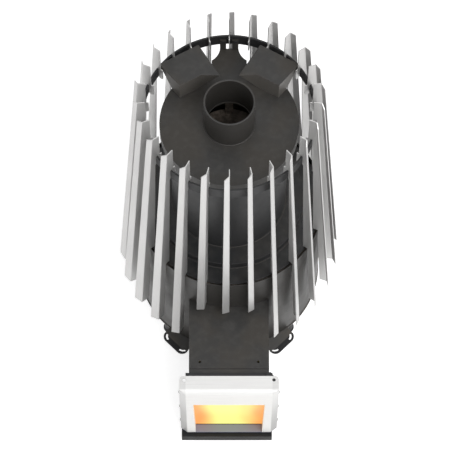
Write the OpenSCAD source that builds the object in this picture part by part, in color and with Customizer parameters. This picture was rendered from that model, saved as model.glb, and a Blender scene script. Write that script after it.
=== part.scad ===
// Wood-fired sauna heater: a drum firebox with a smoke drum above it, a cage of folded
// steel slats that holds the stones, and a fuel tunnel that ends in a glazed door.
// +Z is up, the door faces -Y, and the origin lies on the floor under the flue.

/* [Base] */
// Height of the base plate's underside above the floor
base_z = 50; // [42:1:70]
// Thickness of the base plate
base_t = 4; // [3:0.5:6]
// How far the base plate stands out beyond the casing
base_margin = 2; // [1.5:0.5:6]
// Radius of each lobe of the two front lugs
lug_lobe_r = 17; // [14:1:20]
// Width of the curved slots in the lugs
lug_slot_w = 5; // [4:0.5:6]
// How far each leg's axis lies inside the base plate's rim
leg_margin = 17.9; // [15:0.1:45]
// Outer radius of each leg tube
leg_r = 14; // [10:1:18]
// Wall of each leg tube
leg_wall = 3; // [2:0.5:5]
// Radius of each foot plate
foot_r = 24; // [20:1:30]
// Thickness of each foot plate
foot_t = 4; // [3:0.5:8]

/* [Firebox] */
// Outer radius of the casing
casing_r = 228; // [226:0.5:229]
// Wall of the casing
casing_t = 2; // [1.5:0.25:3]
// Height of the casing's rim above the floor
rim_z = 441; // [420:1:470]
// Air gap between the casing and the firebox wall
casing_air = 5; // [4:0.5:16]
// Wall of the firebox
firebox_t = 4; // [3:0.5:6]
// How far the stone shelf lies below the casing's rim
shelf_drop = 4; // [3:1:40]
// Thickness of the stone shelf
shelf_t = 4; // [3:0.5:6]
// Width of the stone shelf round the crown that closes the firebox
shelf_w = 41; // [31:1:56]
// Height of the crown above the stone shelf
crown_h = 24; // [15:1:40]
// Thickness of the crown
crown_t = 4; // [3:0.5:6]
// Width of the grate
grate_w = 180; // [150:2:200]
// Length of the grate
grate_l = 240; // [200:5:260]
// Thickness of the grate
grate_t = 12; // [8:1:16]
// Width of the grate's slots
grate_slot_w = 9; // [6:1:11]

/* [Smoke drum and lid] */
// Outer radius of the smoke drum
drum_r = 136; // [125:1:145]
// Wall of the smoke drum
drum_t = 4; // [3:0.5:6]
// How far the lid's top face lies below the ring's top edge
lid_drop = 54; // [46:1:70]
// Outer radius of the lid
lid_r = 157.5; // [157:0.5:165]
// Thickness of the lid
lid_t = 4; // [3:0.5:6]
// Depth of the lid's turned-down rim
lid_rim_h = 32; // [20:1:45]
// Outer radius of the flue collar
flue_r = 57.5; // [50:0.5:60]
// Wall of the flue collar
flue_t = 4; // [2:0.5:5]
// Height of the flue collar above the lid
flue_h = 98; // [60:1:120]
// Radius of the hole in the lid under the collar
flue_hole_r = 52; // [40:0.5:52]
// Radius of the flame baffle
baffle_r = 89; // [80:1:108]
// Thickness of the flame baffle
baffle_t = 6; // [4:0.5:10]
// Drop of the flame baffle below the lid
baffle_drop = 100; // [60:1:140]

/* [Cage] */
// Number of slats round the cage
slat_count = 26; // [26:1:26]
// Number of short slats above the fuel tunnel
short_count = 3; // [3:2:3]
// Height of the slats' tips above the floor
tip_z = 976; // [930:1:990]
// How far the slats' fold stands outside the ring at the tips
tip_gap = 6; // [5:0.5:8]
// Height of the long slats' lower ends
foot_z = 180; // [140:1:220]
// How far the slats' fold stands outside the casing at its rim
slat_stand = 12.6; // [11:0.1:15]
// Thickness of the slats
slat_t = 2; // [1.5:0.25:2.5]
// Width of a slat's outer face at the tip
face_top_w = 17; // [14:0.5:20]
// Width of a slat's outer face at the lower end
face_foot_w = 25; // [20:0.5:28]
// Turn of the outer face from the radial direction
face_turn = 61; // [55:1:66]
// Width of a slat's leg at the tip
leg_tip_w = 16; // [15.5:0.25:17]
// Outer radius of the ring that carries the slats
ring_r = 197; // [194:0.5:200]
// Thickness of the ring
ring_t = 4; // [3:0.5:4.5]
// How far the ring's top edge lies below the slats' tips
ring_drop = 85; // [80:1:95]
// Depth of the ring
ring_h = 34; // [28:1:36]

/* [Rear brackets] */
// Thickness of the bracket sheet
bracket_t = 3; // [2:0.5:4]
// Half the width of the lid's rear tab where it meets the ring
tab_w = 21; // [16:1:24]
// Half the width of the tab's root
tab_root_w = 40; // [34:1:46]

/* [Fuel tunnel] */
// Outer width of the fuel tunnel
tunnel_w = 192; // [180:1:194]
// Height of the tunnel's top above the floor
tunnel_z = 315; // [300:1:330]
// Wall of the tunnel
tunnel_t = 4; // [3:0.5:5]
// Distance from the flue to the portal flange's rear face
tunnel_reach = 400; // [380:1:450]
// Thickness of the portal flange
flange_t = 7; // [5:0.5:8]
// Width of the portal flange
flange_w = 208; // [206:0.5:209]
// Distance between the two holes in the tunnel's top
shield_hole_pitch = 140; // [100:1:150]
// Radius of the two holes in the tunnel's top
shield_hole_r = 3; // [2:0.25:4]

/* [Ash drawer] */
// Gap between the ash channel and the floor
floor_gap = 3; // [2:0.5:6]
// Inner width of the ash channel
channel_w = 176; // [160:1:178]
// Wall of the ash channel
channel_t = 2.5; // [2:0.25:3]
// Reach of the ash channel behind the flue
channel_back = 95; // [80:1:120]
// Wall of the ash tray
tray_t = 1.5; // [1:0.25:2]
// Width of the drawer's front
drawer_front_w = 224; // [200:1:228]
// How far the drawer's front sits to the left of the middle
drawer_front_shift = 5; // [0:0.5:6]
// Depth of the drawer's front, from its face to the tray
drawer_front_d = 26; // [20:1:34]
// Height of the drawer's front
drawer_front_h = 27; // [22:1:30]
// Sheet of the drawer's front
drawer_sheet = 2.5; // [2:0.25:3]

/* [Door] */
// Width of the door
door_w = 238; // [236:0.5:242]
// Depth of the door
door_d = 46; // [44:0.5:52]
// Height of the door's top above the floor
door_top = 325; // [324:0.5:328]
// Gap between the drawer's front and the door
door_gap = 6; // [4:0.5:8]
// Width of each chamfer beside the front
chamfer_w = 16; // [12:0.5:20]
// Depth of each chamfer beside the front
chamfer_d = 12; // [8:0.5:14]
// Radius of the bend between the door's top and front
door_bend_r = 14; // [8:0.5:18]
// Sheet of the door's shell
shell_t = 2; // [1.5:0.25:2.5]
// Depth of the bare band above the window
door_band = 74; // [60:1:85]
// Half the width of the window's opening at its top
window_top_w = 86.5; // [82:0.5:88]
// Half the width of the window's opening at the sill
window_foot_w = 82; // [78:0.5:86]
// Thickness of the glass
glass_t = 4; // [3:0.5:5]
// Thickness of the glass gasket
gasket_t = 1; // [0.5:0.25:2]
// Thickness of the inner frame's plate
frame_t = 4; // [3:0.5:4]
// Width of the rope seal
rope_w = 10; // [8:0.5:11]
// Distance of the hinge and latch axes from the door's sides
pivot_inset = 12; // [11:0.5:13]
// Distance of the hinge and latch axes from the door's rear plane
pivot_back = 10; // [9:0.5:11]
// Radius of the hinge pins
pin_r = 4; // [3:0.25:5]
// Radius of the latch pin
latch_pin_r = 3; // [2.5:0.25:3.5]
// Radius of the side screws
screw_r = 2.5; // [2:0.25:3]

/* [Hidden] */
$fn = 64;
overrun = 1;
seat = 0.3;
run_fit = 0.05;

base_r = casing_r + base_margin;
firebox_r = casing_r - casing_t - casing_air;
crown_r = firebox_r - shelf_w;
base_top = base_z + base_t;
shelf_z = rim_z - shelf_drop;
crown_z = shelf_z + crown_h;
ring_z = tip_z - ring_drop;
lid_z = ring_z - lid_drop;
lid_under = lid_z - lid_t;
tip_r = ring_r + tip_gap;
leg_axis = (base_r - leg_margin) / sqrt(2);

// Plan point at a radius and an angle turned from +X
function polar(r, a) = [r * cos(a), r * sin(a)];

// Lugs of the base plate: each lobe's centre stands outside the plate at an angle, and
// the slots start at an angle and run on by the sweep
lug_inner_out = 26.7;
lug_inner_angle = -62.6;
lug_outer_out = 17.2;
lug_outer_angle = -53.2;
lug_inner = polar(base_r + lug_inner_out, lug_inner_angle);
lug_outer = polar(base_r + lug_outer_out, lug_outer_angle);
lug_root_x = tunnel_w / 2 + seat + lug_lobe_r;
lug_root_r = base_r - lug_lobe_r - 2 * base_margin;
lug_root = [lug_root_x, -sqrt(pow(lug_root_r, 2) - pow(lug_root_x, 2))];
lug_slot_r = lug_lobe_r - lug_slot_w;
lug_slot_sweep = 95;
lug_slot_end = 0.1;
lug_inner_slot_start = -135;
lug_outer_slot_start = -55;

// Grate
grate_y = -40;
grate_lip = 10;
grate_rib = 9;
grate_border = 14;

// Slats: the fold's radius at a height, and the stations of the leg's outline
slat_step = 360 / slat_count;
slat_lean = (casing_r + slat_stand - tip_r) / (tip_z - rim_z);
fold_h = tip_z - foot_z;
foot_fold_r = tip_r + fold_h * slat_lean;
lean_angle = atan(slat_lean);
fold_len = fold_h / cos(lean_angle);
face_slope = 8;
fold_swell = 0.15;
fold_bead_r = slat_t / 2 + fold_swell;
hook_in_r = tip_r - leg_tip_w;
finger_out_r = ring_r - ring_t - seat;
finger_r = (finger_out_r - hook_in_r) / 2;
finger_z = ring_z - ring_h - 2 * seat - finger_r;
stem_r = ring_r + seat;
stem_step = 3;
stem_drop = 7;
shoulder_reach = 12.4;
shank_r = casing_r + seat;
shank_drop = 16;
shank_foot_w = 16;
short_gap = 7;
short_z = tunnel_z + short_gap;
function fold_r(z) = tip_r + (tip_z - z) * slat_lean;

// Rear brackets, seen from above on the right-hand side
bracket_over = 0.8;
bracket_outer_angle = 37;
bracket_back_in = 13.6;
bracket_back_angle = 67.6;
bracket_outer = polar(ring_r + bracket_over, bracket_outer_angle);
bracket_back = polar(ring_r - bracket_back_in, bracket_back_angle);
bracket_inner = [21, 90];
bracket_fold = [63.5, 91.5];
bracket_corner = [111.5, 64];
bracket_foot = [127.5, 86];
bracket_z = ring_z;
tab_fillet_r = 40;
tab_fillet_over = 3.2;
tab_ear_over = 5;
tab_ear_gap = 7;
tab_ring_gap = 0.1;
tab_end = sqrt(pow(ring_r - ring_t, 2) - pow(tab_w, 2)) - tab_ring_gap;
rivet_r = 3;
rivet_head_r = 5.5;
rivet_head_h = 2.5;
rivet_x = (tab_w + tab_ear_gap) / 2;
rivet_z = ring_z - ring_h / 2;

// Tunnel, neck and portal flange
neck_l = 12;
neck_inset = 2.5;
tunnel_half = tunnel_w / 2;
flange_half = flange_w / 2;
flange_drop = 5;
flange_top = door_top - shell_t - flange_drop;
flange_front = -tunnel_reach - flange_t;
shield_hole_back = 29;
shield_hole_y = -tunnel_reach + shield_hole_back;

// Drawer: the tray runs in the channel and passes the flange
channel_floor = floor_gap + channel_t;
tray_side_gap = 2;
tray_end_gap = 4;
tray_w = channel_w - 2 * tray_side_gap;
tray_floor = channel_floor + seat;
tray_top = base_z - tray_end_gap;
tray_back = channel_back - channel_t - tray_end_gap;
drawer_over = 2;
drawer_top = base_z + drawer_over;
drawer_proud = 9;

// Door: planes along Y and heights
door_air = 4;
door_half = door_w / 2;
door_foot = drawer_top + door_gap;
sill_t = shell_t;
sill_top = door_foot + sill_t;
door_rear = flange_front - door_air;
door_front = door_rear - door_d;
window_top = door_top - door_band;
drawer_face = door_front - drawer_proud;
tray_front = drawer_face + drawer_front_d;
reveal_t = 1.5;
reveal_gap = 0.5;
glass_recess = 21;
glass_front = door_front + glass_recess;
glass_back = glass_front + glass_t;
frame_front = glass_back + gasket_t;
frame_back = frame_front + frame_t;

// Rope seal on the flange, with the port inside it
rope_d = 10.7;
rope_back = flange_front - seat;
channel_ring_back = rope_back - rope_d;
seal_edge = 4.5;
seal_rise = 4.5;
seal_drop = 2.5;
seal_half = flange_half - seal_edge;
seal_foot = door_foot + seal_rise;
seal_top = flange_top - seal_drop;
port_edge = 1.5;
port_half = seal_half - rope_w - port_edge;
port_foot = seal_foot + rope_w + port_edge;
port_top = seal_top - rope_w - port_edge;

// Inner frame, its opening and the glass that covers the opening
frame_edge = 2;
frame_half = door_half - shell_t;
frame_foot = sill_top + frame_edge;
frame_top = flange_top - frame_edge;
frame_flange_t = 2;
frame_flange_d = 10;
light_lap = 5;
light_rise = 6;
glass_edge = 5;
light_half = window_top_w - light_lap / 2;
light_foot = sill_top + light_rise;
light_top = window_top - light_lap;
glass_half = window_top_w + glass_edge + reveal_gap;
glass_foot = sill_top + frame_edge;
glass_top = window_top + glass_edge;
clip_w = 24;
clip_t = 1.5;
clip_lap = 4;
clip_leg = 6;

// Hinge and latch axes
pivot_x = door_half - pivot_inset;
pivot_y = door_rear - pivot_back;
knuckle_r = 7;
knuckle_h = 4;
ear_h = 4;
ear_gap = 1;
ear_drop = 0.5;
ear_root_w = 12;
ear_edge = 4;
ear_root_out = flange_half - ear_edge;
ear_root_in = ear_root_out - ear_root_w;
upper_ear_z = flange_top;
lower_ear_z = door_foot - ear_h - ear_drop;
pin_head_r = 6.5;
pin_head_h = 2;
latch_z = 220;
latch_t = 4;
latch_boss_r = 5.5;
latch_gap = 0.4;
latch_arm_w = 6;
latch_hook_t = 5;
latch_bite = 2.5;
scallop_h = 54;
scallop_d = 12;
scallop_r = (pow(scallop_h / 2, 2) + pow(scallop_d, 2)) / (2 * scallop_d);
screw_back = 20;
screw_y = door_front + screw_back;
screw_edge = 38;
screw_head_r = 4.5;
screw_head_h = 3;
screw_len = 9;

black = [0.16, 0.16, 0.16];
charcoal = [0.22, 0.22, 0.22];
satin = [0.80, 0.80, 0.80];
bright = [0.93, 0.93, 0.92];
rust = [0.33, 0.26, 0.20];

// A tube standing on a height
module tube(outer_r, wall, z, h, fn = 180) {
    translate([0, 0, z]) difference() {
        cylinder(r = outer_r, h = h, $fn = fn);
        translate([0, 0, -overrun]) cylinder(r = outer_r - wall, h = h + 2 * overrun, $fn = fn);
    }
}

// A block given by its lowest and highest corner
module block(low, high) {
    translate(low) cube(high - low);
}

// A rectangular ring in a plane of constant Y, from its half widths and heights
module upright_ring(front, back, half, foot, top, in_half, in_foot, in_top) {
    difference() {
        block([-half, front, foot], [half, back, top]);
        block([-in_half, front - overrun, in_foot], [in_half, back + overrun, in_top]);
    }
}

// Plan of a curved slot: an arc of the given radius and width, with round ends drilled
// slightly wider
module arc_slot(r, w, from, to) {
    difference() {
        circle(r = r + w / 2);
        circle(r = r - w / 2);
        for (side = [[from, -90], [to, 90]])
            rotate(side[0] + side[1]) translate([0, -2 * r]) square([3 * r, 4 * r]);
    }
    for (a = [from, to]) rotate(a) translate([r, 0]) circle(r = w / 2 + lug_slot_end);
}

// One front lug with its two lobes and curved slots, on the side given by 1 or -1
module lug(side) {
    scale_x = side > 0 ? 0 : 1;
    mirror([scale_x, 0, 0]) difference() {
        hull() {
            translate([lug_inner[0], lug_inner[1], base_z]) cylinder(r = lug_lobe_r, h = base_t, $fn = 32);
            translate([lug_outer[0], lug_outer[1], base_z]) cylinder(r = lug_lobe_r, h = base_t, $fn = 32);
            translate([lug_root[0], lug_root[1], base_z]) cylinder(r = lug_lobe_r, h = base_t, $fn = 32);
        }
        for (c = [[lug_inner, lug_inner_slot_start], [lug_outer, lug_outer_slot_start]])
            translate([c[0][0], c[0][1], base_z - overrun]) linear_extrude(base_t + 2 * overrun)
                arc_slot(lug_slot_r, lug_slot_w, c[1], c[1] + lug_slot_sweep);
    }
}

module base_plate() {
    color(black) difference() {
        union() {
            translate([0, 0, base_z]) cylinder(r = base_r, h = base_t, $fn = 180);
            lug(1);
            lug(-1);
        }
        block([-grate_w / 2 + grate_lip, grate_y - grate_l / 2 + grate_lip, base_z - overrun],
              [grate_w / 2 - grate_lip, grate_y + grate_l / 2 - grate_lip, base_top + overrun]);
    }
}

module at_legs() {
    for (x = [-1, 1], y = [-1, 1]) translate([x * leg_axis, y * leg_axis, 0]) children();
}

module support_legs() {
    color(black) at_legs() tube(leg_r, leg_wall, foot_t, base_z - foot_t, 48);
}

module foot_plates() {
    color(black) at_legs() cylinder(r = foot_r, h = foot_t, $fn = 48);
}

module outer_casing() {
    color(charcoal) difference() {
        tube(casing_r, casing_t, base_top, rim_z - base_top);
        block([-tunnel_half - seat, -2 * casing_r, base_z], [tunnel_half + seat, 0, tunnel_z + seat]);
    }
}

module firebox_wall() {
    color(rust) difference() {
        tube(firebox_r, firebox_t, base_top, shelf_z - shelf_t - base_top);
        block([-tunnel_half + tunnel_t, -2 * casing_r, base_z],
              [tunnel_half - tunnel_t, 0, tunnel_z - tunnel_t]);
    }
}

module stone_shelf() {
    color(charcoal) tube(firebox_r, firebox_r - crown_r + crown_t, shelf_z - shelf_t, shelf_t);
}

// A shallow pan over the fire, open in the middle to the smoke drum
module firebox_crown() {
    color(charcoal) {
        tube(crown_r, crown_t, shelf_z, crown_h);
        tube(crown_r, crown_r - drum_r + drum_t, crown_z - crown_t, crown_t);
    }
}

// Cast bars: a plate with two rows of slots
module fire_grate() {
    pitch = grate_slot_w + grate_rib;
    n = floor((grate_w - 2 * grate_border + grate_rib) / pitch);
    first = -(n * pitch - grate_rib) / 2;
    slot_l = (grate_l - 2 * grate_border - grate_rib) / 2;
    color(rust) translate([0, grate_y, base_top]) difference() {
        block([-grate_w / 2, -grate_l / 2, 0], [grate_w / 2, grate_l / 2, grate_t]);
        for (i = [0 : n - 1], s = [-1, 1])
            translate([first + i * pitch, (s - 1) / 2 * slot_l + s * grate_rib / 2, -overrun])
                cube([grate_slot_w, slot_l, grate_t + 2 * overrun]);
    }
}

module smoke_drum() {
    color(charcoal) tube(drum_r, drum_t, crown_z, lid_under - crown_z);
}

// A plate that turns the flames, hung from the lid on three straps
module flame_baffle() {
    strap_w = 3 * baffle_t;
    top = lid_z - baffle_drop;
    color(rust) {
        translate([0, 0, top - baffle_t]) cylinder(r = baffle_r, h = baffle_t, $fn = 96);
        for (a = [90, 210, 330]) rotate(a)
            block([baffle_r - 2 * baffle_t, -strap_w / 2, top - baffle_t],
                  [baffle_r - baffle_t, strap_w / 2, lid_under]);
    }
}

// Plan of the lid's rear tab, with a hollow fillet on each side
module tab_plan() {
    difference() {
        translate([-tab_root_w, 0]) square([2 * tab_root_w, tab_end]);
        for (s = [-1, 1]) translate([s * (tab_w + tab_fillet_r), tab_end + tab_fillet_over])
            circle(r = tab_fillet_r);
        circle(r = flue_r);
    }
}

module top_plate() {
    color(charcoal) {
        difference() {
            union() {
                translate([0, 0, lid_under]) cylinder(r = lid_r, h = lid_t, $fn = 180);
                translate([0, 0, lid_under]) linear_extrude(lid_t) tab_plan();
            }
            translate([0, 0, lid_under - overrun]) cylinder(r = flue_hole_r, h = lid_t + 2 * overrun, $fn = 96);
        }
        tube(lid_r, lid_t, lid_z - lid_rim_h, lid_rim_h);
        for (s = [0, 1]) mirror([s, 0, 0]) difference() {
            block([tab_ear_gap, tab_end - bracket_t, lid_under], [tab_w, tab_end, rivet_z + tab_ear_over]);
            translate([rivet_x, 0, rivet_z]) rotate([-90, 0, 0]) cylinder(r = rivet_r, h = 2 * ring_r, $fn = 32);
        }
    }
}

module flue_collar() {
    color(charcoal) tube(flue_r, flue_t, lid_z, flue_h, 96);
}

module cage_ring() {
    color(black) difference() {
        tube(ring_r, ring_t, ring_z - ring_h, ring_h);
        for (x = [-rivet_x, rivet_x]) translate([x, 0, rivet_z]) rotate([-90, 0, 0])
            cylinder(r = rivet_r, h = 2 * ring_r, $fn = 32);
    }
}

// Left-hand normal of the way from one plan point to another
function left_of(a, b) = [a[1] - b[1], b[0] - a[0]] / norm(b - a);
// Corner q of the path p, q, r moved to its left by t
function inner_corner(p, q, r, t) =
    let (m = left_of(p, q), n = left_of(q, r)) q + t * (m + n) / (1 + m * n);
// Point on the way from a to b that lies t away from a wall through a with normal n
function edge_inset(a, b, n, t) = a + (b - a) * t / ((b - a) * n);

// What lies under a line that rises from one height to another between two plan points
module under_slope(from, to, low, high) {
    d = to - from;
    len = norm(d);
    translate([from[0], from[1], 0]) rotate(atan2(d[1], d[0])) rotate([90, 0, 0])
        linear_extrude(4 * bracket_t, center = true)
        polygon([[0, low], [len - bracket_t, high], [len + bracket_t, high],
                 [len + bracket_t, low - overrun], [0, low - overrun]]);
}

// Right-hand cover between the lid and the ring: a flat top and a folded skirt that
// stands on the lid and tapers off at both ends
module bracket() {
    a = bracket_outer;
    b = bracket_back;
    c = bracket_inner;
    d = bracket_fold;
    f = bracket_corner;
    foot_share = norm(bracket_foot - f) / norm(a - f);
    knee = f + foot_share * (a - f);
    skirt_top = bracket_z + bracket_t / 2;
    taper_top = bracket_z + bracket_t / 4;
    translate([0, 0, bracket_z]) linear_extrude(bracket_t) polygon([a, b, c, d, f]);
    difference() {
        translate([0, 0, lid_z]) linear_extrude(skirt_top - lid_z)
            polygon([c, d, f, a, edge_inset(a, b, left_of(f, a), bracket_t),
                     inner_corner(d, f, a, bracket_t), inner_corner(c, d, f, bracket_t),
                     edge_inset(c, b, left_of(c, d), bracket_t)]);
        under_slope(d, c, lid_z, taper_top);
        under_slope(knee, a, lid_z, taper_top);
    }
}

module ring_bracket_right() {
    color(charcoal) bracket();
}

module ring_bracket_left() {
    color(charcoal) mirror([1, 0, 0]) bracket();
}

module ring_rivets() {
    inside = tab_end - bracket_t;
    outside = sqrt(pow(ring_r, 2) - pow(rivet_x - rivet_head_r, 2));
    color(satin) for (x = [-rivet_x, rivet_x]) translate([x, inside, rivet_z]) rotate([-90, 0, 0]) {
        cylinder(r = rivet_r, h = outside - inside + rivet_head_h, $fn = 32);
        translate([0, 0, -rivet_head_h]) cylinder(r = rivet_head_r, h = rivet_head_h, $fn = 32);
        translate([0, 0, outside - inside]) cylinder(r = rivet_head_r, h = rivet_head_h, $fn = 32);
    }
}

// Outline of a slat's leg as radius and height: a hook over the ring at the top,
// a shoulder on the casing's rim and a shank outside the casing
module leg_outline(end_z) {
    shank_end_r = fold_r(end_z) - shank_foot_w;
    polygon([
        [fold_r(tip_z), tip_z], [hook_in_r, tip_z], [hook_in_r, finger_z + finger_r],
        [finger_out_r, finger_z + finger_r], [finger_out_r, ring_z], [stem_r, ring_z],
        [stem_r, ring_z - ring_h], [stem_r + stem_step, ring_z - ring_h - stem_drop],
        [casing_r - shoulder_reach, rim_z], [shank_r, rim_z], [shank_r, rim_z - shank_drop],
        [shank_end_r, end_z], [fold_r(end_z), end_z]
    ]);
    translate([hook_in_r + finger_r, finger_z + finger_r]) circle(r = finger_r, $fn = 32);
}

// A folded slat that ends at the given height: the leg stands along the radius and
// the face turns away from it at the fold
module slat(end_z) {
    cut = end_z - foot_z;
    start_h = cut / cos(lean_angle);
    start_w = face_foot_w + (face_top_w - face_foot_w) * start_h / fold_len;
    rotate([90, 0, 0]) linear_extrude(slat_t, center = true) leg_outline(end_z);
    translate([foot_fold_r, 0, foot_z]) rotate([0, -lean_angle, 0]) {
        rotate(-face_turn) rotate([90, 0, 0]) linear_extrude(slat_t, center = true)
            polygon([[0, start_h], [start_w, start_h], [face_top_w, fold_len - face_slope], [0, fold_len]]);
        translate([0, 0, start_h]) cylinder(r = fold_bead_r, h = fold_len - start_h, $fn = 24);
    }
}

short_side = (short_count - 1) / 2;

module slats_long() {
    color(satin) for (i = [short_side + 1 : slat_count - short_side - 1])
        rotate(-90 + i * slat_step) slat(foot_z);
}

module slats_short() {
    color(satin) for (i = [-short_side : short_side]) rotate(-90 + i * slat_step) slat(short_z);
}

// A box section along Y between two planes, from its outer half width and heights
module box_section(front, back, half, foot, top, wall) {
    difference() {
        block([-half, front, foot], [half, back, top]);
        block([-half + wall, front - overrun, foot + wall], [half - wall, back + overrun, top - wall]);
    }
}

module fuel_tunnel() {
    color(charcoal) difference() {
        union() {
            box_section(-tunnel_reach + neck_l, 0, tunnel_half, base_z, tunnel_z, tunnel_t);
            box_section(-tunnel_reach, -tunnel_reach + neck_l + tunnel_t, tunnel_half - neck_inset,
                        base_z + neck_inset, tunnel_z - neck_inset, tunnel_t);
        }
        translate([0, 0, base_z - overrun]) cylinder(r = firebox_r, h = tunnel_z, $fn = 180);
        translate([0, 0, base_z - overrun]) cylinder(r = base_r, h = base_t + overrun, $fn = 180);
        for (s = [-1, 1]) translate([s * shield_hole_pitch / 2, shield_hole_y, tunnel_z - 2 * tunnel_t])
            cylinder(r = shield_hole_r, h = 3 * tunnel_t, $fn = 32);
    }
}

module portal_flange() {
    color(black) difference() {
        block([-flange_half, flange_front, floor_gap], [flange_half, -tunnel_reach, flange_top]);
        block([-port_half, flange_front - overrun, port_foot], [port_half, -tunnel_reach + overrun, port_top]);
        block([-channel_w / 2, flange_front - overrun, channel_floor],
              [channel_w / 2, -tunnel_reach + overrun, base_z]);
    }
}

// One hinge ear: a rounded eye round the pin with a root on the flange
module ear(z, root_back) {
    difference() {
        hull() {
            translate([pivot_x, pivot_y, z]) cylinder(r = knuckle_r - seat, h = ear_h, $fn = 32);
            block([ear_root_in, flange_front - overrun, z], [ear_root_out, root_back, z + ear_h]);
        }
        translate([pivot_x, pivot_y, z - overrun]) cylinder(r = pin_r, h = ear_h + 2 * overrun, $fn = 48);
        if (root_back == flange_front)
            block([0, flange_front, z - overrun], [flange_half + overrun, 0, z + ear_h + overrun]);
    }
}

module hinge_ears() {
    color(black) {
        ear(upper_ear_z, -tunnel_reach);
        ear(lower_ear_z, flange_front);
    }
}

// Two stub pins: the upper one ends in the hole in the door's top
module hinge_pins() {
    upper_low = upper_ear_z - ear_gap - knuckle_h;
    lower_top = frame_foot + knuckle_h;
    color(black) translate([pivot_x, pivot_y, 0]) {
        translate([0, 0, upper_low]) cylinder(r = pin_r, h = door_top - upper_low, $fn = 48);
        translate([0, 0, lower_ear_z]) cylinder(r = pin_r, h = lower_top - lower_ear_z, $fn = 48);
        translate([0, 0, lower_ear_z - pin_head_h]) cylinder(r = pin_head_r, h = pin_head_h, $fn = 48);
    }
}

// A trough under the base plate that the ash tray runs in
module ash_channel() {
    half = channel_w / 2;
    color(black) difference() {
        block([-half - channel_t, -tunnel_reach, floor_gap], [half + channel_t, channel_back, base_z]);
        block([-half, -tunnel_reach - overrun, channel_floor], [half, channel_back - channel_t, base_z + overrun]);
    }
}

module ash_tray() {
    half = tray_w / 2;
    color(charcoal) difference() {
        block([-half, tray_front, tray_floor], [half, tray_back, tray_top]);
        block([-half + tray_t, tray_front + tray_t, tray_floor + tray_t],
              [half - tray_t, tray_back - tray_t, tray_top + overrun]);
        for (s = [-1, 1]) translate([s * tray_w / 4, tray_front - overrun, tray_floor + drawer_front_h / 2])
            rotate([-90, 0, 0]) cylinder(r = rivet_r, h = tray_t + 2 * overrun, $fn = 32);
    }
}

// Folded front: a face, a flat top and a leg that is riveted to the tray
module drawer_front() {
    left = -drawer_front_shift - drawer_front_w / 2;
    foot = drawer_top - drawer_front_h;
    leg_front = tray_front - drawer_sheet;
    leg_foot = tray_floor + drawer_sheet;
    color(black) {
        block([left, drawer_face, foot], [left + drawer_front_w, drawer_face + drawer_sheet, drawer_top]);
        block([left, drawer_face, drawer_top - drawer_sheet], [left + drawer_front_w, tray_front, drawer_top]);
        block([left, drawer_face, foot], [left + drawer_front_w, drawer_face + 3 * drawer_sheet, foot + drawer_sheet]);
        difference() {
            block([-tray_w / 2, leg_front, leg_foot], [tray_w / 2, tray_front, drawer_top]);
            for (s = [-1, 1]) translate([s * tray_w / 4, leg_front - overrun, tray_floor + drawer_front_h / 2])
                rotate([-90, 0, 0]) cylinder(r = rivet_r, h = drawer_sheet + 2 * overrun, $fn = 32);
        }
    }
}

module drawer_rivets() {
    reach = drawer_sheet + tray_t;
    color(satin) for (s = [-1, 1])
        translate([s * tray_w / 4, tray_front - drawer_sheet, tray_floor + drawer_front_h / 2])
        rotate([-90, 0, 0]) {
            cylinder(r = rivet_r, h = reach, $fn = 32);
            translate([0, 0, -rivet_head_h]) cylinder(r = rivet_head_r, h = rivet_head_h, $fn = 32);
            translate([0, 0, reach]) cylinder(r = rivet_head_r, h = rivet_head_h, $fn = 32);
        }
}

// Plan of the door drawn in by a wall: sides, chamfers and front
module door_plan(inset) {
    half = door_half - inset;
    cut = inset * tan(atan2(chamfer_w, chamfer_d) / 2);
    polygon([
        [-half, door_rear], [-half, door_front + chamfer_d + cut], [-door_half + chamfer_w + cut, door_front + inset],
        [door_half - chamfer_w - cut, door_front + inset], [half, door_front + chamfer_d + cut], [half, door_rear]
    ]);
}

// Side view of the door drawn in by a wall, with the bend at the upper front edge
module door_profile(inset) {
    r = door_bend_r - inset;
    front = door_front + inset;
    top = door_top - inset;
    translate([front, sill_top]) square([door_rear - front, top - r - sill_top]);
    translate([front + r, sill_top]) square([door_rear - front - r, top - sill_top]);
    translate([front + r, top - r]) circle(r = r, $fn = 64);
}

// The door's body as a solid drawn in by a wall
module door_solid(inset) {
    intersection() {
        linear_extrude(door_top) door_plan(inset);
        rotate([90, 0, 90]) translate([0, 0, -door_half]) linear_extrude(door_w) door_profile(inset);
    }
}

// Outline of the window drawn out by a wall, seen from the front
module window_outline(outset) {
    polygon([
        [-window_foot_w - outset, sill_top], [window_foot_w + outset, sill_top],
        [window_top_w + outset, window_top + outset], [-window_top_w - outset, window_top + outset]
    ]);
}

module window_prism(outset, front, back) {
    translate([0, back, 0]) rotate([90, 0, 0]) linear_extrude(back - front) window_outline(outset);
}

// Cut behind both side walls for the hinge's swing, and the finger scallops
module side_clearance() {
    for (s = [0, 1]) mirror([s, 0, 0]) {
        block([frame_half - frame_flange_t - overrun, pivot_y, 0],
              [door_half + overrun, door_rear + overrun, door_top - shell_t]);
        block([frame_half - frame_flange_t - overrun, pivot_y - knuckle_r, frame_top],
              [door_half + overrun, door_rear + overrun, door_top - shell_t]);
        translate([frame_half - frame_flange_t - overrun, pivot_y + scallop_r - scallop_d, latch_z])
            rotate([0, 90, 0]) cylinder(r = scallop_r, h = 3 * shell_t + 2 * overrun, $fn = 96);
    }
}

module screw_holes(r) {
    for (s = [-1, 1], i = [0 : 2])
        translate([s * door_half, screw_y, door_foot + screw_edge + i * (door_top - door_foot - 2 * screw_edge) / 2])
            rotate([0, 90, 0]) cylinder(r = r, h = 2 * screw_len, center = true, $fn = 32);
}

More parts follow.
